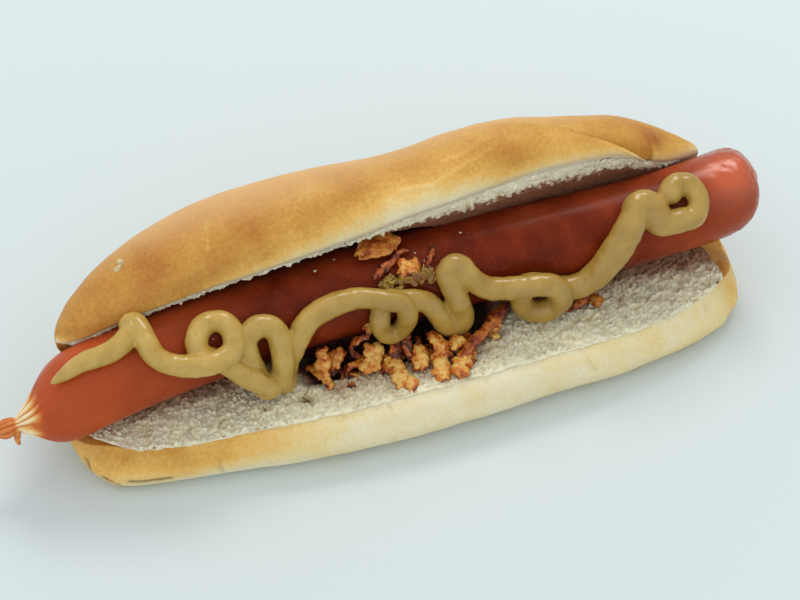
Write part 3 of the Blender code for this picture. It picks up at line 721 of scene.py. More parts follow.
class RollSettings(bpy.types.PropertyGroup):
    crust_relief: FloatProperty(name="Crust relief", description="Height of the crust's soft lumps",
                                default=0.35, min=0.0, max=1.5)
    crumb_relief: FloatProperty(name="Crumb relief", description="Depth of the pores in the torn crumb",
                                default=0.60, min=0.0, max=1.5)
    seed: IntProperty(name="Seed", description="Chooses the lumps and pores", default=3, min=0)


class FrankfurterSettings(bpy.types.PropertyGroup):
    pleats: IntProperty(name="Pleats", description="Folds of casing gathered at the tied end",
                        default=11, min=3, max=24)
    pleat_depth: FloatProperty(name="Pleat depth", description="Depth as a share of the radius",
                               default=0.14, min=0.0, max=0.4)


class MustardSettings(bpy.types.PropertyGroup):
    unevenness: FloatProperty(name="Unevenness", description="How much the rope's thickness wavers",
                              default=0.06, min=0.0, max=0.3)
    resolution: FloatProperty(name="Resolution", description="Size of the cells it is merged at, in mm",
                              default=0.38, min=0.2, max=1.0)


class ToppingSettings(bpy.types.PropertyGroup):
    small_bits: IntProperty(name="Small bits", description="Small broken bits of fried onion",
                            default=70, min=0, max=400)
    relish_bits: IntProperty(name="Relish bits", description="Bits of chopped pickle", default=84, min=1,
                             max=400)
    crumbs: IntProperty(name="Crumbs", description="Loose crumbs along the roll's torn edges",
                        default=260, min=0, max=2000)
    seed: IntProperty(name="Seed", description="Chooses where the loose bits lie", default=5, min=0)


class StageSettings(bpy.types.PropertyGroup):
    sky: FloatProperty(name="Room light", description="Strength of the light from all around",
                       default=0.94, min=0.0, max=3.0)
    key: FloatProperty(name="Window light", description="Power of the soft light above", default=4.4,
                       min=0.0, max=200.0, subtype="POWER", unit="POWER")
    heading: FloatVectorProperty(name="View from", default=(-20.5, 46.0), size=2,
                                 description="Azimuth and elevation of the camera, in degrees")


# ---------------------------------------------------------------------------------------------------
# Building the pieces

# On the lower half: holes in its crumb, the smaller marks pressed into its crust, the scorched cracks at
# its bottom left, fine wrinkles, darker and lighter bakes, one lighter spot being painted light where the
# frankfurter's shadow falls, and fat stains mixed with painted shade under the onions and the frankfurter.
# A path is three or more points; a spot is x, y, z, radius and strength
HEEL_HOLES = ((-33.4, 26.5, 17, 2.6, 1.6), (61.6, 38.4, 17, 1.3, 1), (66.8, 35.7, 17, 1.3, 0.9),
              (-81, 40.7, 14, 3, 1.2), (-62, 27, 15.5, 1.2, 0.9), (40.5, 24.5, 17, 1.1, 0.8),
              (-49.5, 24, 16, 1.1, 0.8), (84, 33, 15, 1.2, 0.9))
HEEL_CREASES = (((-12.7, 14.1, 16.4), (-12.2, 11.2, 10), (-12.6, 11.2, 5.5)),
                ((-62.2, 17.2, 9.4), (-62.5, 16.9, 6.5), (-61, 18, 3.5)),
                ((98.7, 37.6, 12.7), (98.5, 34, 13.2), (97.6, 31.5, 12.9)))
HEEL_DENTS = ((88.2, 21.8, 12.3, 1.4, 0.8), (-86.5, 26.3, 11.9, 1.6, 0.45))
HEEL_CRACKS = (((-96.4, 32.6, 7.4), (-96, 31.6, 5.9), (-95.4, 30.6, 4.6)),
               ((-93.6, 26.6, 4.6), (-91.2, 24.5, 5.2), (-90, 23.8, 4.2)),
               ((-87.2, 22.2, 5.6), (-83, 20.8, 5.2), (-76.1, 19.6, 5.6)))
HEEL_WRINKLE = ((45.4, 15.6, 16.4), (46.8, 14.6, 15.4), (47.4, 13, 13.6), (48.6, 12.2, 12),
                (49.6, 12, 10.6))
# The spot at x -92.5 is painted light: it lightens the crust where the frankfurter's shadow falls
HEEL_BAKES = ((-86.5, 26.3, 11.9, 2.2, 0.10), (-92.5, 37, 12.1, 6, -0.22),
              (-73.9, 25.7, 14.3, 5, 0.12), (98, 28, 8, 7, 0.15))
HEEL_GREASE = ((-25.8, 27.4, 17, 4.5, 0.45), (-8.5, 20.5, 17, 4, 0.30), (13, 20.5, 17, 4, 0.28),
               (0, 30, 17, 9, 0.55), (-12, 29, 17, 8, 0.45), (24, 30, 17, 5, 0.45))
# How far the half lies under the torn crumb in front of it, and how far back that crumb reaches
UNDER_TORN, CRUMB_BACK = 3.2, 45.4
# On the torn crumb in front: its larger holes, seen from above, and fat stains round the onions mixed with
# painted shade in the hollow under the frankfurter
CRUMB_HOLES = ((-78.9, 32.3, 2.8, 1.4), (-66.7, 28, 1, 1.1), (-33.4, 26.2, 2.8, 2.2),
               (78.6, 33, 1.3, 1.3), (82.7, 30.6, 1.2, 1.3), (64.3, 30, 1.3, 1.2),
               (74.6, 28, 1.2, 1.2), (46.6, 25.9, 1.2, 1.2), (53.1, 24.3, 1.1, 1.1),
               (46.1, 20.1, 1, 1), (-49.5, 24, 1.1, 1), (-57, 33, 1.3, 1.2))
CRUMB_GREASE = ((-24, 25, 16, 4.5, 0.5), (-8.5, 19.5, 17, 3.5, 0.35), (8, 18, 17, 4.5, 0.30),
                (0, 30, 16, 9, 1), (-16, 31, 16, 8, 0.9), (18, 29, 16, 7, 0.8),
                (88, 38, 14, 2.5, 0.4), (62, 35.5, 15, 3, 0.35))
# How far the fringe hangs under the upper lip, and how far the crumb below it shows, stained and darkened
# by painted shade, at x
FRINGE_DROP = ((-94, 0.5), (-60, 0.9), (-30, 1.2), (-5, 1.8), (12, 3.4), (30, 5.2), (65, 4.8),
               (84, 2.6), (93, 0.6))
FRINGE_STAIN = ((-94, 0), (-5, 0), (10, 2.5), (24, 7.5), (78, 9), (88, 4), (93, 0))
# On the dome: pale threads where its skin stretched, a crease pressed down its side, a small crack, a
# dimple, and darker and lighter bakes
CROWN_THREADS = ((((5.3, 54.2, 58.8), (14, 53.4, 58), (25, 55.8, 60), (34.1, 58.4, 61)), 0.7, 1),
                 (((19.1, 50.9, 53.2), (28, 53.5, 56), (36.9, 56.9, 58)), 0.6, 1),
                 (((32.6, 62.4, 61.4), (40, 66.5, 60.5), (48, 72, 57)), 0.7, 1),
                 (((54, 71, 56), (47.2, 67.9, 58.9), (35.6, 62.3, 62.1), (26.6, 59.3, 61.1),
                   (19.1, 58.9, 60.5)), 0.6, 0.7))
CROWN_CREASE = ((-50.3, 59.4, 59.8), (-52.2, 52.1, 57.1), (-52.2, 50.6, 50), (-51.6, 51.4, 45))
CROWN_CRACK = ((64.3, 71.3, 52.3), (62.1, 64.7, 55.3))
CROWN_DIMPLE = (85.2, 58.5, 48.3, 2.2, 0.8)
CROWN_BAKES = ((38.9, 54.3, 58.8, 7, 0.20), (55.2, 58, 56, 6, -0.12), (84, 62, 50, 9, 0.14),
               (-7.9, 58.9, 61, 7, 0.10), (-38.5, 56.1, 60.3, 7, 0.12), (-68, 56, 53.1, 8, 0.12),
               (85.2, 58.5, 48.3, 3, 0.25))
# On the frankfurter: a blister and an ear of casing stand out, and a dent beside the ear
LINK_BUMPS = ((92.6, 34.6, 25.5, 1.2, 0.35), (113.2, 47.5, 35, 0.9, 0.6), (112.9, 45, 37.5, 1.6, -0.5))
# On the mustard: small pits
ROPE_PITS = ((-51.3, 29.6, 41.7, 0.8, 0.45), (-55.6, 27.3, 40.3, 0.7, 0.4), (-69, 28.1, 38.9, 0.7, 0.35),
             (-44.2, 27.7, 29, 1.4, 1), (17.9, 31, 36.1, 0.6, 0.4))
# Crumbs that have fallen on the frankfurter
FALLEN_CRUMBS = ((-10.5, 54.9, 40.6), (-16.1, 50.2, 42.2), (-22.6, 47.8, 42.4), (6.3, 44.9, 42.1),
                 (8, 42.1, 40.9), (9.5, 42.8, 41.3), (21, 47.4, 42.6), (23.2, 46.7, 42.5),
                 (-56.5, 37.2, 37.6))


def roll_skin(section_at, crust, crumb, ends, noses, hinge_strip):
    """One half of the roll as a dense closed skin: its bmesh, each vertex's station and turn, and its
    distances in millimetres from the cut edge (crumb positive) and round the crust."""
    middle = np.vstack([along(crust, CRUST_AROUND + 1)[:-1], along(crumb, CRUMB_AROUND + 1)[:-1]])
    turns = CRUST_AROUND + CRUMB_AROUND
    rings = np.empty((ROLL_ALONG + 1, turns, 3))
    for k in range(ROLL_ALONG + 1):
        share = 2 * k / ROLL_ALONG - 1
        left = 1 - abs(share)
        u = (1 - left * (1 - np.exp(-left / END_CROWDING))) * (1 if share > 0 else -1)
        x = between(ends, u)
        rings[k, :, 0] = x
        rings[k, :, 1:] = section_at(middle, u)
    rings[0, :, 1:], rings[-1, :, 1:] = noses
    soft = 1 - step(CUT_ENDS[0] - 1, CUT_ENDS[0] + 5, rings[:, 0, 0])
    soft += step(CUT_ENDS[1] - 5, CUT_ENDS[1] + 1, rings[:, 0, 0])
    for _ in range(60):
        around = (np.roll(rings, 1, axis=1) + np.roll(rings, -1, axis=1)) / 2
        rings[:, :, 1:] += (soft[:, None, None] * (around - rings) * 0.6)[:, :, 1:]
    steps = np.linalg.norm(np.roll(rings, -1, axis=1) - rings, axis=2)
    run = np.concatenate([np.zeros((len(rings), 1)), np.cumsum(steps, axis=1)], axis=1)
    total, hinge = run[:, -1:], run[:, CRUST_AROUND:CRUST_AROUND + 1]
    run = run[:, :-1]
    crumb_in = np.minimum(total - run, run - hinge - hinge_strip)
    crust_in = -np.minimum(run, np.maximum(hinge - run, 0) + hinge_strip)
    inside = np.where(np.arange(turns) >= CRUST_AROUND, crumb_in, crust_in)
    x = rings[:, :, 0]
    inside = np.minimum(inside, np.minimum(x - CUT_ENDS[0], CUT_ENDS[1] - x))
    mesh, where = skin(ROLL_ALONG, turns, rings)
    return mesh, where, inside[where[:, 0], where[:, 1]], run[where[:, 0], where[:, 1]]


def crumb_shape(points, mask, relief, seed, holes):
    """How far the torn crumb rises or sinks at each point, and how deep in a pore it is."""
    pits = spots(points, holes)
    torn = lumps(points, 6, seed, 3) * 0.5 + lumps(points, 2, seed + 1, 3) * 0.22
    coarse = bubbles(points, 2.5, seed)
    small = bubbles(points, 1.25, seed + 1)
    sunk = -0.75 * coarse**1.5 - 0.35 * small - pits
    pore = np.clip(0.35 * coarse**2 + 0.2 * small + 0.6 * np.clip(pits, 0, 1), 0, 1)
    return (torn + relief * sunk + 0.35 * relief) * mask, pore * mask


def woolly(points, seed, relief):
    """The height of torn crumb at each point over its mean surface, and how deep in a pore it is: a web
    of soft walls round pores of many sizes, with a few large holes."""
    bent = points + 0.5 * np.column_stack([lumps(points, 1.3, seed + k, 2) for k in range(3)])
    large, small = bubbles(bent, 2.3, seed), bubbles(bent, 1.15, seed + 1)
    patches = np.clip(0.75 + 0.9 * lumps(points, 4, seed + 2, 2), 0.1, 1.6)
    wool = lumps(points, 1, seed + 5, 3)
    rare = np.clip(tufts(bent, 4.2, seed + 6) - 0.62, 0, 1) * 2.4
    rare = rare * step(0.05, 0.4, lumps(points, 9, seed + 7, 1))
    clumps = tufts(bent, 2.9, seed + 8) - 0.5
    height = relief * (0.30 - 0.55 * patches * large**1.4 - 0.38 * small - 0.9 * rare + 0.70 * wool
                       + 0.6 * clumps)
    pore = 0.50 * patches * large**1.4 + 0.30 * small + 0.7 * rare - 0.30 * wool - 0.25 * clumps
    return height + 0.35 * lumps(points, 6, seed + 3, 2), np.clip(pore, 0, 1)


def cut_face(section_at, middle, x, ends):
    """The cut face of a half's section at x, from its rim or lip inwards. middle has 60 points of crust."""
    section = section_at(middle, (2 * x - sum(ends)) / (ends[1] - ends[0]))
    return np.vstack([section[60:], section[:1]])[::-1]


def pointed_skin(rings):
    """A closed skin through the rings, drawn to a point at both ends: its bmesh, each vertex's station
    and turn, and its points and normals."""
    for ring in (rings[0], rings[-1]):
        ring[:, 1:] = ring[:, 1:].mean(axis=0)
    mesh, where = skin(len(rings) - 1, rings.shape[1], rings)
    return mesh, where, *points_of(mesh)


def gutter(y, rim):
    """How far the lower crumb dips at y, between the rim and where the frankfurter lies on it."""
    return 0.9 * step(0.5, 15, y - rim) * (1 - step(37, 44, y))


def crumb_inset(x):
    """How far the lower crumb stands back from the rim near its left end."""
    return 3.4 * (1 - step(-97, -83, x))


def cavity(x, y):
    """How much deeper the crumb lies in the dark hollow behind the onions, under the frankfurter."""
    return 4.5 * step(-36, -24, x) * (1 - step(20, 30, x)) * step(28.5, 33, y)


class HOTDOG_OT_lower_half(bpy.types.Operator):
    """Adds the roll's lower half: pale crust below, and the torn crumb that the frankfurter lies on"""

    bl_idname = "hotdog.lower_half"
    bl_label = "Roll, lower half"

    def execute(self, context):
        settings = context.scene.hotdog_roll
        nose = (HEEL_AXIS, HEEL_NOSE)
        mesh, where, inside, run = roll_skin(heel_section, HEEL_CRUST, HEEL_CRUMB, HEEL_ENDS,
                                             (nose, nose), 7)
        points, normals = points_of(mesh)
        x, y, z = points.T
        inside = inside - crumb_inset(x)
        ragged = inside + 0.9 * lumps(points, 4, 8) + 0.5 * lumps(points, 1, 9, 2)
        crumb = step(0.9, 1.8, ragged)
        rise, pore = crumb_shape(points, crumb, settings.crumb_relief, settings.seed, HEEL_HOLES)
        creases = sum(nearness(points, path, width) for path, width in zip(HEEL_CREASES, (0.8, 0.8, 0.7)))
        creases += spots(points, HEEL_DENTS)
        cracks = sum(share * nearness(points, path, width)
                     for path, width, share in zip(HEEL_CRACKS, (0.8, 0.8, 0.7), (1, 1, 0.7)))
        wrinkles = nearness(points, HEEL_WRINKLE, 0.5)
        soft = lumps(points, 18, 2, 3) * settings.crust_relief + lumps(points, 4, 5, 2) * 0.06
        crust = (soft - 0.55 * creases - 0.35 * wrinkles - 0.8 * cracks) * (1 - crumb)
        points += normals * (rise + crust)[:, None]
        rims = graded(x, [(key[0], key[1]) for key in RIM_LINE])
        points[:, 2] -= step(0.3, 1.4, inside) * (1 - step(38, 46, y))
        under_torn = UNDER_TORN * step(0.5, 2.6, inside) * (1 - step(45, 52, y))
        points[:, 2] -= crumb * (gutter(y, rims) + cavity(x, y) * (1 - step(50, 58, y)) + under_torn)
        points[:, 2] = np.maximum(points[:, 2], 0)
        move(mesh, points)
        ends = graded(x, ((-99, 0.46), (-88, 0.38), (-76, 0.32), (-58, 0.22), (-35, 0.12),
                          (0, 0.06), (45, 0.10), (70, 0.14), (88, 0.17), (105.5, 0.24)))
        below = step(20, 36, run) * 0.45
        back = step(55, 70, y) * 0.30
        golden = 0.8 * step(6.5, 11, z) * graded(x, ((-99, 0.10), (-92, 0.22), (-60, 0.30),
                                                       (-42, 0.16), (-30, 0)))
        golden -= 0.22 * (1 - step(3.5, 7, z)) * (1 - step(-60, -30, x))
        golden += spots(points, HEEL_BAKES)
        keep(mesh, "bake", np.clip(ends + below + back + golden, 0, 1))
        scorch = 1.2 * cracks + 0.18 * creases + 0.12 * wrinkles
        keep(mesh, "scorch", np.clip(scorch, 0, 1) * (1 - crumb))
        # Fat stains round the onions, and painted shade: the crumb darkened under the heap and under the
        # frankfurter
        grease = spots(points, HEEL_GREASE)
        grease += 0.95 * step(34, 42, y) * (1 - step(60, 68, y)) * step(-92, -82, x)
        keep(mesh, "stain", np.clip(grease, 0, 0.95) * crumb)
        keep(mesh, "crumb", crumb)
        # The pore depth darkens the crumb's colour in its pores and holes: painted shade
        keep(mesh, "pore", pore)
        piece("roll_lower_half", mesh, roll_paint(), "bread", "bun")
        return {"FINISHED"}


class HOTDOG_OT_crumb(bpy.types.Operator):
    """Adds the torn crumb in front of the frankfurter, and the fringe of crumb under the upper lip"""

    bl_idname = "hotdog.crumb"
    bl_label = "Torn crumb"

    def execute(self, context):
        settings = context.scene.hotdog_roll
        paint = open_crumb()
        self.lower(settings, paint)
        self.fringe(settings, paint)
        return {"FINISHED"}

    def lower(self, settings, paint):
        stations, top, under = 660, 106, 14
        middle = np.vstack([along(HEEL_CRUST, 61)[:-1], along(HEEL_CRUMB, 61)[:-1]])
        rings = np.empty((stations + 1, top + under, 3))
        for k, x in enumerate(np.linspace(CUT_ENDS[0] + 0.4, CUT_ENDS[1] - 0.2, stations + 1)):
            cut = cut_face(heel_section, middle, x, HEEL_ENDS)
            rim = cut[0, 0]
            rim += 0.5 * noise.noise(Vector((x / 2.2, 7, 3)))
            rim += 0.4 * noise.noise(Vector((x / 7, 1, 9)))
            rim += float(crumb_inset(x))
            y = rim - 0.6 + (CRUMB_BACK - rim) * np.linspace(0, 1, top) ** 0.9
            sunk = gutter(y, rim) + cavity(x, y) - 0.25 * (1 - step(0.5, 3, y - rim))
            sunk += 1.5 * (1 - step(0.4, 2.2, x - CUT_ENDS[0] + 0.4 * np.sin(1.7 * y)))
            z = np.interp(y, cut[:, 0], cut[:, 1]) - sunk
            back = np.linspace(y[-1], y[0], under + 2)[1:-1]
            low = np.interp(back, cut[:, 0], cut[:, 1]) - gutter(back, rim) - cavity(x, back) - 2.6
            rings[k, :, 0] = x
            rings[k, :top, 1], rings[k, :top, 2] = y, z
            rings[k, top:, 1], rings[k, top:, 2] = back, low
        mesh, where, points, _ = pointed_skin(rings)
        x, y = points[:, 0], points[:, 1]
        share = where[:, 1] / top
        over = (where[:, 1] < top) * step(0, 0.03, share) * step(-0.001, 0.006, where[:, 0] / stations)
        height, deep = woolly(points, settings.seed, settings.crumb_relief * 2)
        pits = spots(points * (1, 1, 0), [(a, b, 0, radius, depth) for a, b, radius, depth in CRUMB_HOLES])
        points[:, 2] += over * (height - pits)
        move(mesh, points)
        # Painted shade: the crumb darkened under the frankfurter, most of all in the hollow behind the
        # onions
        close = 0.6 * step(34, 41, y) * step(-92, -80, x) + cavity(x, y) / 4
        keep(mesh, "stain", np.clip(0.6 * spots(points, CRUMB_GREASE) + close, 0, 1))
        # Pores and the larger holes are painted darker: painted shade
        shallow = 0.65 * deep * (1 - 0.6 * np.clip(pits, 0, 1))
        keep(mesh, "pore", np.clip(shallow + 0.36 * pits, 0, 1))
        piece("roll_lower_crumb", mesh, paint, "bread", "bun")

    def fringe(self, settings, paint):
        stations, front, back = 620, 40, 10
        middle = np.vstack([along(CROWN_CRUST, 61)[:-1], along(CROWN_CRUMB, 61)[:-1]])
        rings = np.empty((stations + 1, front + back, 3))
        strips = np.empty((stations + 1, front))
        for k, x in enumerate(np.linspace(FRINGE_DROP[0][0], FRINGE_DROP[-1][0], stations + 1)):
            cut = cut_face(crown_section, middle, x, CROWN_ENDS)
            lip = cut[0]
            down, under = float(graded(x, FRINGE_DROP)), float(graded(x, FRINGE_STAIN))
            run = np.linspace(0, down + under, front)
            z = lip[1] - 0.1 - run
            skin_y = np.interp(-z, -cut[:, 1], cut[:, 0])
            y = lip[0] + 0.35 + 0.12 * np.minimum(run, down) + 0.05 * np.maximum(run - down, 0)
            y = np.minimum(y, skin_y + 0.2)
            strips[k] = run / max(down, 0.1)
            rings[k, :, 0] = x
            rings[k, :front, 1], rings[k, :front, 2] = y, z
            inner_z = np.linspace(z[-1], z[0], back + 2)[1:-1]
            rings[k, front:, 1] = np.interp(-inner_z, -cut[:, 1], cut[:, 0]) + 0.9
            rings[k, front:, 2] = inner_z
        mesh, where, points, normals = pointed_skin(rings)
        height, deep = woolly(points * (1, 1, 1.25), settings.seed + 9, settings.crumb_relief * 1.3)
        outer = where[:, 1] < front
        share = strips[where[:, 0], np.minimum(where[:, 1], front - 1)]
        white = 1 - step(0.75, 1.25, share + 0.5 * lumps(points, 1.6, 71, 3))
        points += normals * (outer * (white * (0.55 * height + 0.45) + 0.3 * height))[:, None]
        frayed = 0.7 * lumps(points * (1, 0, 0), 1.3, 72, 3)
        points[:, 2] -= frayed * outer * white * np.minimum(share, 1)
        move(mesh, points)
        # Below the white fringe the crumb is dark: partly stained, partly painted shade under the upper lip
        keep(mesh, "stain", (0.64 + 0.12 * np.clip(share - 1, 0, 2)) * (1 - white) * outer)
        # The pore depth darkens the fringe's colour in its pores: painted shade
        keep(mesh, "pore", deep * 0.6)
        piece("roll_lip_crumb", mesh, paint, "bread", "bun")


class HOTDOG_OT_upper_half(bpy.types.Operator):
    """Adds the roll's upper half: the browned dome, its folded flap, and the crumb under its lip"""

    bl_idname = "hotdog.upper_half"
    bl_label = "Roll, upper half"

    def execute(self, context):
        settings = context.scene.hotdog_roll
        mesh, where, inside, run = roll_skin(crown_at, CROWN_CRUST, CROWN_CRUMB, CROWN_ENDS,
                                             CROWN_NOSES, 16)
        points, normals = points_of(mesh)
        x = points[:, 0]
        ragged = inside + 0.6 * lumps(points, 5, 18) + 0.5 * lumps(points, 1.1, 19, 2)
        crumb = step(-0.35, 0.35, ragged)
        rise, pore = crumb_shape(points, crumb, settings.crumb_relief, settings.seed + 4, ())
        threads = sum(share * nearness(points, path, width) for path, width, share in CROWN_THREADS)
        pressed = nearness(points, CROWN_CREASE, 0.6)
        crack = nearness(points, CROWN_CRACK, 0.6)
        dimple = spots(points, (CROWN_DIMPLE,))
        soft = lumps(points, 20, 12, 3) * settings.crust_relief + lumps(points, 4.5, 15, 2) * 0.07
        crust = (soft - 0.28 * threads - 0.6 * pressed - 0.4 * crack - dimple) * (1 - crumb)
        points += normals * (rise + crust)[:, None]
        move(mesh, points)
        band = graded(x, ((-96.5, 1.5), (-60, 2.2), (-27, 4.5), (5, 7), (30, 5),
                         (55, 3.4), (80, 3), (101, 2)))
        far = np.maximum(run, 0)
        bake = graded(far / band, ((0, 0), (0.5, 0.06), (1, 0.26), (1.8, 0.52), (2.6, 0.62),
                                   (6, 0.60), (30, 0.60)))
        bake += graded(x, ((-96.5, 0.10), (-70, 0.10), (-40, 0.04), (0, -0.02), (60, 0),
                           (101, 0)))
        # Less baked, so lighter, over the dome's top: a painted sheen where the window light falls
        bake -= 0.10 * step(25, 34, far) * (1 - step(48, 60, far))
        bake += spots(points, CROWN_BAKES)
        keep(mesh, "bake", np.clip(bake - 0.10 * threads - 0.16 * pressed, 0, 1))
        # A pinkish-pale painted sheen over the dome's top, fading out towards its left end
        blush = 0.6 * step(15, 30, far) * (1 - step(38, 60, far)) * step(-95, -60, x)
        keep(mesh, "blush", blush * (1 - crumb))
        keep(mesh, "scorch", np.clip(0.25 * crack, 0, 1) * (1 - crumb))
        # The crumb further in under the lip is painted darker: painted shade under the upper half, with
        # some staining
        keep(mesh, "stain", np.clip(0.85 * step(1.5, 5, inside), 0, 0.85) * crumb)
        keep(mesh, "crumb", crumb)
        # The pore depth darkens the crumb's colour in its pores: painted shade
        keep(mesh, "pore", pore)
        piece("roll_upper_half", mesh, roll_paint(), "bread", "bun")
        return {"FINISHED"}


class HOTDOG_OT_frankfurter(bpy.types.Operator):
    """Adds the frankfurter, with its pleated, tied left end and its blunt right end"""

    bl_idname = "hotdog.frankfurter"
    bl_label = "Frankfurter"

    def execute(self, context):
        settings = context.scene.hotdog_frankfurter
        dome = LINK_RIGHT - LINK_DOME
        places = np.concatenate([
            np.linspace(LINK_LEFT, LINK_SHOULDER, 150, endpoint=False),
            np.linspace(LINK_SHOULDER, dome, 230, endpoint=False),
            dome + LINK_DOME * np.sin(np.linspace(0, pi / 2, 61))])
        turns = LINK_AROUND
        rings = np.empty((len(places), turns, 3))
        tied = np.empty((len(places), turns))
        angles = np.linspace(0, 2 * pi, turns, endpoint=False)
        for k, x in enumerate(places):
            radius = link_radius(x) if k not in (0, len(places) - 1) else 0
            waist, flare = np.exp(-((x + 113.4) ** 2)), np.exp(-(((x + 117.4) / 2.2) ** 2))
            radius *= 1 - 0.25 * waist + 0.75 * flare
            gathered = np.exp(-(((x + 111) / 3.6) ** 2)) + 0.9 * np.exp(-(((x + 118) / 2.5) ** 2))
            fold = angles + 0.16 * np.sin(3 * angles + 1) + 0.10 * np.sin(5 * angles + x / 3)
            ridge = np.abs(np.sin(fold * settings.pleats / 2)) ** 0.8
            reach = radius * (1 + settings.pleat_depth * gathered * (2 * ridge - 1.5))
            y, z = smooth(x, LINK_AXIS)
            rings[k] = np.column_stack([np.full(turns, x), y + reach * np.cos(angles),
                                        z + reach * np.sin(angles)])
            # The gathered casing by the tie is cream and orange, its pleat ridges painted lighter than the
            # folds: a painted highlight on the ridges
            knot = float(step(-115, -113, x) * (1 - step(-111, -105.5, x)))
            tail = float(1 - step(-115.5, -113, x))
            tied[k] = np.clip(knot * (0.32 + 0.72 * ridge) + tail * (0.22 + 0.2 * ridge), 0, 1)
        mesh, where = skin(len(places) - 1, turns, rings)
        points, normals = points_of(mesh)
        tie = tied[where[:, 0], where[:, 1]] + 0.06 * lumps(points, 1.5, 3, 2)
        firm = step(-112, -100, points[:, 0])
        swell = firm * (0.22 * lumps(points, 24, 31, 2) + 0.05 * lumps(points, 5, 32, 2))
        swell += spots(points, LINK_BUMPS)
        swell += 0.26 * lumps(points, 2.6, 36, 3) * step(93, 102, points[:, 0])
        points += normals * swell[:, None]
        move(mesh, points)
        keep(mesh, "tie", np.clip(tie, 0, 1))
        # Paler towards both ends: partly the casing's own colour, partly painted sheen; the spot on the
        # right end's top is a painted highlight
        pale = graded(points[:, 0], ((-121, 0.78), (-88, 0.74), (-62, 0.38), (-40, 0.06),
                                     (30, 0), (70, 0.14), (95, 0.40), (113, 0.56)))
        pale += 0.13 * lumps(points, 11, 35, 3) + spots(points, ((101.5, 42.5, 44, 7, 0.8),))
        keep(mesh, "pale", np.clip(pale, 0, 1))
        shine = graded(points[:, 0], ((-121, 0.6), (-106, 0.30), (-88, 0.05), (-60, 0),
                                      (88, 0), (97, 0.6), (104, 1)))
        keep(mesh, "shine", shine * (0.25 + 0.75 * step(34, 43, points[:, 2])))
        left = Vector((-114, *smooth(-114, LINK_AXIS)))
        strands = (
            ((0, -0.6, -0.6), (0, -1.8, -2), (-0.3, -2.4, -3.6), (0.2, -2.8, -5.4)),
            ((-4, 0, 0.6), (-5.4, -0.3, 1), (-6.6, -0.8, 0.6)),
        )
        for strand, girth in zip(strands, (1.3, 0.9)):
            path = [left + Vector(point) for point in strand]
            made = sweep(mesh, path, (girth, 0.75 * girth, 0.35 * girth), 8, 14)
            layer = mesh.verts.layers.float["tie"]
            for vert in made:
                vert[layer] = 0.40 + 0.2 * noise.noise(vert.co)
        piece("frankfurter", mesh, casing(), "frankfurter", "sausage")
        return {"FINISHED"}


def rope_line(count):
    """The mustard's centre line: rows (x, t) in the order it was laid, and how high earlier strands
    carry each point."""
    rows = []
    for cx, ct, rx, rt, start, end in ROPE_ARCS:
        steps = max(1, round(abs(end - start) / 40))
        for k in range(steps + 1 if rx else 1):
            turn = radians(start + (end - start) * k / steps)
            rows.append((cx + rx * cos(turn), ct - rt * sin(turn)))
    path = along(rows, count)
    run = np.concatenate([[0], np.cumsum(np.linalg.norm(np.diff(path, axis=0), axis=1))])
    lifts = np.zeros(count)
    for i in range(count):
        earlier = run[i] - run >= ROPE_CROSSING
        apart = np.linalg.norm(path - path[i], axis=1)
        under = earlier & (apart < ROPE_STACK)
        if under.any():
            lifts[i] = (lifts[under] + np.sqrt(ROPE_STACK**2 - apart[under] ** 2)).max()
    for _ in range(round(2 * (5 * count / run[-1]) ** 2)):
        lifts[1:-1] = (lifts[:-2] + 2 * lifts[1:-1] + lifts[2:]) / 4
    return path, lifts, run


def merged(mesh, cell, passes):
    """A bmesh whose overlapping strands have flowed into one skin, in cells of the given size."""
    data = bpy.data.meshes.new("rope")
    mesh.to_mesh(data)
    mesh.free()
    rope = bpy.data.objects.new("rope", data)
    bpy.context.scene.collection.objects.link(rope)
    flow = rope.modifiers.new("flow together", "REMESH")
    flow.mode = "VOXEL"
    flow.voxel_size = cell
    even = rope.modifiers.new("smooth over", "SMOOTH")
    even.factor = 0.5
    even.iterations = passes
    graph = bpy.context.evaluated_depsgraph_get()
    merged_data = bpy.data.meshes.new_from_object(rope.evaluated_get(graph))
    bpy.data.objects.remove(rope)
    result = bmesh.new()
    result.from_mesh(merged_data)
    bpy.data.meshes.remove(merged_data)
    return result


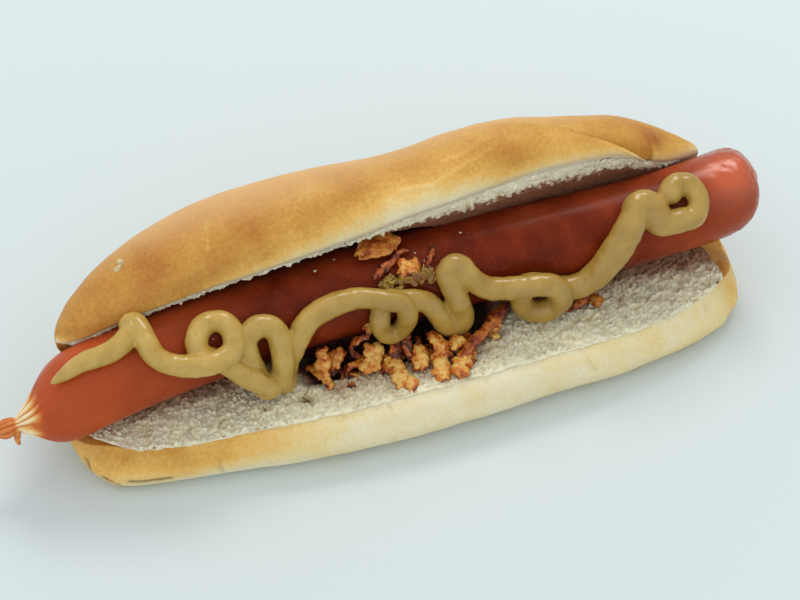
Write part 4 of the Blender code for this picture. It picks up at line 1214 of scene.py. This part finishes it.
class HOTDOG_OT_mustard(bpy.types.Operator):
    """Adds the mustard: one rope piped to and fro, its loops sunk a little into each other"""

    bl_idname = "hotdog.mustard"
    bl_label = "Mustard"

    def execute(self, context):
        settings = context.scene.hotdog_mustard
        path, lifts, run = rope_line(ROPE_POINTS)
        centres, radii = [], []
        for (x, t), lift, gone in zip(path, lifts, run):
            radius = float(smooth(x, ROPE_RADII)[0])
            waver = noise.noise(Vector((gone / 6, 3.1, 7.7)))
            waver += 0.5 * noise.noise(Vector((gone / 2.4, 1.1, 2.2)))
            radius *= 1 + settings.unevenness * waver
            centres.append(on_skin(x, t, radius * ROPE_SINK + lift))
            start, end = gone / radius, (run[-1] - gone) / (4.2 * radius)
            blunt, fine = (sqrt(max(0, 1 - max(0, 1 - share) ** 2)) for share in (start, end))
            radii.append(radius * (blunt * fine))
        mesh = bmesh.new()
        sweep(mesh, centres, radii, 20, ROPE_POINTS - 1)
        bmesh.ops.recalc_face_normals(mesh, faces=mesh.faces)
        mesh = merged(mesh, settings.resolution, 4)
        points, normals = points_of(mesh)
        soft = 0.16 * lumps(points, 3.5, 41, 2) + 0.05 * lumps(points, 1.2, 42, 2)
        points += normals * (soft - spots(points, ROPE_PITS))[:, None]
        move(mesh, points)
        # Darker and browner from the left end towards the middle and the right, in uneven patches
        soaked = graded(points[:, 0], ((-103, 0), (-55, 0.05), (-20, 0.40), (60, 0.55),
                                       (90, 0.45)))
        soaked += 0.3 * lumps(points, 7, 43, 2)
        keep(mesh, "soaked", np.clip(soaked, 0, 1))
        piece("mustard_rope", mesh, mustard_paste(), "mustard", "mustard")
        return {"FINISHED"}


# The single pieces of onion. Those on the frankfurter: node, x, t and height over the skin, length,
# width and thickness, heading, curl, cup, twist, how dark, raggedness and puff
SKIN_CRISPS = (
    ("onion_oval_slice", (-3.5, -0.6, 1.9), (13.5, 8.4, 1), 14, 0.12, 0.05, 0.05, 0.34, 0.10, 0.2),
    ("onion_long_curl", (-2.6, 7, 1.6), (14.5, 3, 1), 28, -0.4, 0.3, 0.7, 0.60, 0.5, 0.6),
    ("onion_orange_crisp", (3, 9.6, 1.9), (6.6, 4, 1.3), 20, 0.2, 0.2, 0.3, 0.25, 0.5, 0.9),
    ("onion_thin_strand", (10.6, 6.8, 1.5), (9, 2.2, 0.9), 52, 0.5, 0.3, 0.6, 0.55, 0.5, 0.6),
)
# Those on the crumb: node, place, length, width and thickness, turns, then as above
CRUMB_CRISPS = (
    ("onion_upright_crisp", (-26.6, 31, 22.6), (9.6, 3.4, 1.2), (0, -58, 69), 0.3, 0.3, 0.4, 0.3, 0.6, 0.8),
    ("onion_tall_curl", (-17.6, 33.4, 24), (15, 3, 1), (0, -80, -20), 1.7, 0.2, 0.2, 0.45, 0.4, 0.5),
    ("onion_slanted_strip", (20, 26.6, 22.4), (24.5, 2.7, 1.2), (0, -8, 31), 0.2, 0.3, 0.5, 0.48, 0.3, 0.8),
    ("onion_yellow_crisp", (25.6, 30.4, 19.6), (9, 5.2, 1.8), (10, 0, 55), 0.2, 0.2, 0.2, 0.02, 0.5, 0.9),
    ("onion_right_strip", (51.6, 31.6, 18.4), (8.6, 3, 1.1), (10, 0, 4), 0.4, 0.2, 0.5, 0.40, 0.5, 0.9),
    ("onion_right_crisp", (57.2, 31.2, 18.8), (6, 4.6, 1.8), (0, 10, 60), 0.3, 0.2, 0.3, 0.22, 0.6, 1.1),
)
# The heap's larger pieces: place, length, width and thickness, turns, curl, cup, twist, how dark
HEAP_CRISPS = (
    ((-27.6, 30.5, 18.6), (9.5, 2.4, 1.2), (0, 0, -74), 0.4, 0.3, 0.5, 0.28),
    ((-21.5, 33.2, 20.6), (5, 4.2, 1.6), (20, -20, 30), 0.3, 0.2, 0.3, 0.38),
    ((-24.2, 31.8, 19), (5, 2.6, 1.2), (0, 10, 100), 0.3, 0.2, 0.3, 0.70),
    ((-12.2, 29.8, 20.8), (8.5, 7, 1.3), (28, -10, 35), 0.3, 0.1, 0.2, 0.16),
    ((-16.5, 30.6, 19.4), (6.5, 2.6, 1.2), (0, 0, 10), 0.5, 0.3, 0.6, 0.45),
    ((-4.8, 30.6, 21.6), (9.5, 3, 1.1), (20, -18, 62), 0.6, 0.3, 0.8, 0.80),
    ((-1.4, 31.2, 22.6), (10.5, 2.8, 1), (0, -28, 78), 0.5, 0.3, 0.6, 0.72),
    ((-6.2, 22.6, 19.8), (11.5, 4.8, 1.5), (10, 4, -72), 0.3, 0.3, 0.3, 0.14),
    ((-7.6, 24.6, 20.6), (4, 3.6, 1.3), (0, 0, 30), 0.4, 0.2, 0.4, 0.55),
    ((0.6, 25, 20.6), (6.8, 4.8, 1.6), (10, -15, 62), 0.4, 0.2, 0.4, 0.28),
    ((7.2, 27.4, 21.4), (8.5, 5.6, 1.4), (18, -22, 108), 0.3, 0.2, 0.3, 0.34),
    ((12.2, 26.6, 20.8), (4.4, 4, 1.8), (0, 0, 15), 0.3, 0.2, 0.2, 0.26),
    ((5.4, 20.4, 19.8), (8, 5.2, 1.5), (12, -10, 78), 0.3, 0.3, 0.3, 0.08),
    ((11.6, 20, 20.2), (9, 5.2, 1.6), (6, 4, 42), 0.4, 0.3, 0.3, 0.24),
    ((14.8, 21.6, 20.6), (5.5, 3.6, 1.2), (10, -10, 70), 0.4, 0.2, 0.3, 0.62),
    ((-9, 36, 27.2), (5.5, 4.2, 1.4), (40, 0, 20), 0.3, 0.2, 0.3, 0.12),
    ((8.5, 31, 18.6), (8, 2.8, 1.1), (0, -10, 30), 0.5, 0.3, 0.7, 0.85),
    ((2.5, 28.6, 19.4), (7, 3, 1.2), (0, 12, -30), 0.5, 0.3, 0.7, 0.75),
    ((-8.5, 27.6, 19.2), (6, 3, 1.2), (0, 0, 50), 0.5, 0.3, 0.5, 0.65),
    ((15.5, 27.6, 19.4), (7, 2.8, 1.1), (0, -8, 60), 0.5, 0.3, 0.6, 0.70),
)


class HOTDOG_OT_onion_pieces(bpy.types.Operator):
    """Adds the single pieces of fried onion, on the frankfurter and on the crumb"""

    bl_idname = "hotdog.onion_pieces"
    bl_label = "Single onion pieces"

    def execute(self, context):
        paints = {"golden_onion": fried_onion("onion, floured and fried golden", GOLDEN),
                  "brown_onion": fried_onion("onion, fried dark brown", BROWN)}
        dark = {"onion_oval_slice", "onion_long_curl", "onion_thin_strand", "onion_tall_curl",
                "onion_slanted_strip", "onion_right_strip"}
        placed = []
        for name, (x, t, height), size, heading, *shape in SKIN_CRISPS:
            lean = t / (LINK_RADIUS + ROPE_MEAN) * 180 / pi
            placed.append((name, on_skin(x, t, height), size, (lean, 0, heading), *shape))
        placed += [(name, Vector(place), *rest) for name, place, *rest in CRUMB_CRISPS]
        for seed, (name, place, size, turns, curl, cup, twist, finish, ragged, puff) in enumerate(placed):
            mesh = strewn()
            crisp(mesh, place, turns, size, curl, cup, twist, ragged, finish, seed + 1, puff)
            slot = "brown_onion" if name in dark else "golden_onion"
            piece(name.replace("onion", "fried"), mesh, paints[slot], slot, name)
        return {"FINISHED"}


class HOTDOG_OT_onion_heap(bpy.types.Operator):
    """Adds the heap of fried onions: larger pieces, and many small broken bits"""

    bl_idname = "hotdog.onion_heap"
    bl_label = "Onion heap"

    def execute(self, context):
        settings = context.scene.hotdog_toppings
        chance = np.random.default_rng(settings.seed)
        mesh = strewn()
        for seed, (place, size, turns, curl, cup, twist, finish) in enumerate(HEAP_CRISPS):
            size = (1.12 * size[0], 0.78 * size[1], size[2])
            crisp(mesh, place, turns, size, curl, cup, twist, 0.5, finish, seed + 21, 1)
        for seed in range(settings.small_bits):
            x = chance.uniform(-22, 18)
            y = 30 + chance.normal(0, 2.8) - 0.06 * x
            size = (chance.uniform(1.8, 5), chance.uniform(1, 2.2), chance.uniform(0.7, 1.2))
            height = 15.6 + 3 * np.exp(-(((x + 3) / 16) ** 2)) * chance.uniform(0.2, 1)
            turns = (chance.uniform(-40, 40), chance.uniform(-40, 40), chance.uniform(0, 180))
            crisp(mesh, (x, max(y, 23.5), height), turns, size, 0.4, 0.3, 0.5, 0.5,
                  chance.uniform(0.25, 1), seed + 51, 0.7)
        piece("fried_heap", mesh, fried_onion("onion bits, fried golden to brown", GOLDEN),
              "golden_onion", "fried_onion_heap")
        return {"FINISHED"}


class HOTDOG_OT_relish(bpy.types.Operator):
    """Adds the pickle relish: a small spoonful of wet, chopped bits lying against the frankfurter"""

    bl_idname = "hotdog.relish"
    bl_label = "Pickle relish"

    def execute(self, context):
        settings = context.scene.hotdog_toppings
        chance = np.random.default_rng(settings.seed + 1)
        mesh = strewn()
        for seed in range(settings.relish_bits):
            along_it = chance.uniform(-1, 1)
            x = 2.6 + 8.6 * along_it
            t = 12.8 + 0.6 * along_it + chance.normal(0, 1)
            height = 0.7 + chance.uniform(0, 1.3) * (1 - along_it**2)
            size = (chance.uniform(1.6, 3.6), chance.uniform(1.4, 2.6), chance.uniform(1, 1.6))
            finish = 0.25 + 0.45 * (along_it > 0) * chance.uniform(0.4, 1.2)
            lump(mesh, on_skin(x, t, height), size, seed, finish, 3, 0.3)
        piece("relish_bits", mesh, relish(), "relish", "pickle_relish")
        return {"FINISHED"}


class HOTDOG_OT_crumbs(bpy.types.Operator):
    """Adds loose crumbs: on the frankfurter, on the crust, and frayed along the torn edges"""

    bl_idname = "hotdog.crumbs"
    bl_label = "Bread crumbs"

    def execute(self, context):
        settings = context.scene.hotdog_toppings
        chance = np.random.default_rng(settings.seed + 2)
        mesh = strewn()
        for seed, place in enumerate(FALLEN_CRUMBS):
            lump(mesh, place, chance.uniform(0.35, 0.9, 3), seed, 0.1, 2, 0.9)
        for seed in range(9):
            place = Vector((-74.9, 60.7, 49.9)) + Vector(chance.normal(0, 1, 3)) * 1.2
            lump(mesh, place, chance.uniform(1, 2.4, 3), seed + 30, 0.55, 2, 0.6)
        middle = np.vstack([along(CROWN_CRUST, 60)[:-1], along(CROWN_CRUMB, 50)[:-1]])
        for seed in range(settings.crumbs):
            u = chance.uniform(-0.9, 0.9)
            if seed % 2:
                x = between(CROWN_ENDS, u)
                y, z = crown_section(middle, u)[-1 - int(abs(chance.normal(0, 1.3)))]
            else:
                x = between(HEEL_ENDS, u)
                y, z = smooth(x, RIM_LINE) + np.abs(chance.normal(0, 1, 2)) * (1, 0.1)
            lump(mesh, (x, y, z), chance.uniform(0.3, 1.1, 3), seed + 60, chance.uniform(0, 0.3), 1, 0.6)
        piece("bread_crumbs", mesh, loose_crumb(), "bread")
        return {"FINISHED"}


# The camera: its sensor's width, its lens, and how far it stands from the middle of the roll
SENSOR_WIDTH, LENS_LENGTH, CAMERA_AWAY = 36, 153, 3400 / 3.52


def aimed(data, place, direction):
    """Adds a light or a camera at a place, looking back along the direction it lies in."""
    thing = bpy.data.objects.new(data.name, data)
    thing.location = place
    thing.rotation_mode = "QUATERNION"
    thing.rotation_quaternion = direction.to_track_quat("Z", "Y")
    bpy.context.scene.collection.objects.link(thing)
    return thing


class HOTDOG_OT_stage(bpy.types.Operator):
    """Adds the table, the light from the room, the soft window light behind, and the camera"""

    bl_idname = "hotdog.stage"
    bl_label = "Table, lights and camera"

    def execute(self, context):
        settings = context.scene.hotdog_stage
        scene = context.scene
        scene.view_settings.view_transform = "Standard"
        mesh = bmesh.new()
        bmesh.ops.create_grid(mesh, x_segments=1, y_segments=1, size=4.0)
        data = bpy.data.meshes.new("table")
        mesh.to_mesh(data)
        mesh.free()
        data.materials.append(table_top())
        table = bpy.data.objects.new("table", data)
        scene.collection.objects.link(table)
        sky = bpy.data.worlds.new("pale room")
        sky.use_nodes = True
        tree = sky.node_tree
        azimuth, elevation = (radians(angle) for angle in settings.heading)
        towards = Vector((sin(azimuth) * cos(elevation), -cos(azimuth) * cos(elevation), sin(elevation)))
        right = Vector((cos(azimuth), sin(azimuth), 0))
        away = Vector((-sin(azimuth), cos(azimuth), 0))
        facing = node(tree, "VectorMath", {0: node(tree, "TexCoord").outputs["Generated"],
                                           1: -0.5 * right - 0.85 * away}, operation="DOT_PRODUCT")
        strength = ranged(tree, facing.outputs["Value"], -1, 1, 0.74 * settings.sky, 1.36 * settings.sky)
        back = tree.nodes["Background"]
        back.inputs["Color"].default_value = (*linear("#EDF4F7"), 1)
        tree.links.new(strength, back.inputs["Strength"])
        scene.world = sky
        target = (Vector((0, 40, 30)) + PLACE) * MM
        window = bpy.data.lights.new("window", "AREA")
        window.shape = "RECTANGLE"
        window.size, window.size_y = 0.5, 0.36
        window.energy = settings.key
        window.color = linear("#FFFBF4")
        from_light = right * 0.16 + away * 0.66 + Vector((0, 0, 0.95))
        light = aimed(window, target + from_light, from_light)
        camera = bpy.data.cameras.new("camera")
        camera.sensor_width = SENSOR_WIDTH
        camera.lens = LENS_LENGTH
        view = aimed(camera, target + towards * CAMERA_AWAY * MM, towards)
        scene.camera = view
        return {"FINISHED"}


class HOTDOG_PT_panel(bpy.types.Panel):
    """The hot dog's pieces, in the order in which they are added"""

    bl_idname = "HOTDOG_PT_panel"
    bl_label = "Hot dog"
    bl_space_type = "VIEW_3D"
    bl_region_type = "UI"
    bl_category = "Hot dog"

    def draw(self, context):
        scene = context.scene
        for group in SETTINGS:
            settings = getattr(scene, group)
            box = self.layout.box()
            for name in settings.__annotations__:
                box.prop(settings, name)
        for operator in OPERATORS:
            self.layout.operator(operator.bl_idname)


SETTINGS = {"hotdog_roll": RollSettings, "hotdog_frankfurter": FrankfurterSettings,
            "hotdog_mustard": MustardSettings, "hotdog_toppings": ToppingSettings,
            "hotdog_stage": StageSettings}
OPERATORS = (HOTDOG_OT_lower_half, HOTDOG_OT_upper_half, HOTDOG_OT_crumb, HOTDOG_OT_frankfurter,
             HOTDOG_OT_mustard, HOTDOG_OT_onion_pieces, HOTDOG_OT_onion_heap, HOTDOG_OT_relish,
             HOTDOG_OT_crumbs, HOTDOG_OT_stage)


CLASSES = (*SETTINGS.values(), *OPERATORS, HOTDOG_PT_panel)


def register():
    for cls in CLASSES:
        bpy.utils.register_class(cls)
    for group, kind in SETTINGS.items():
        setattr(bpy.types.Scene, group, PointerProperty(type=kind))


def unregister():
    for group in SETTINGS:
        delattr(bpy.types.Scene, group)
    for cls in reversed(CLASSES):
        bpy.utils.unregister_class(cls)


def main():
    register()
    for operator in OPERATORS:
        getattr(bpy.ops.hotdog, operator.bl_idname.split(".")[1])()


if __name__ == "__main__":
    main()
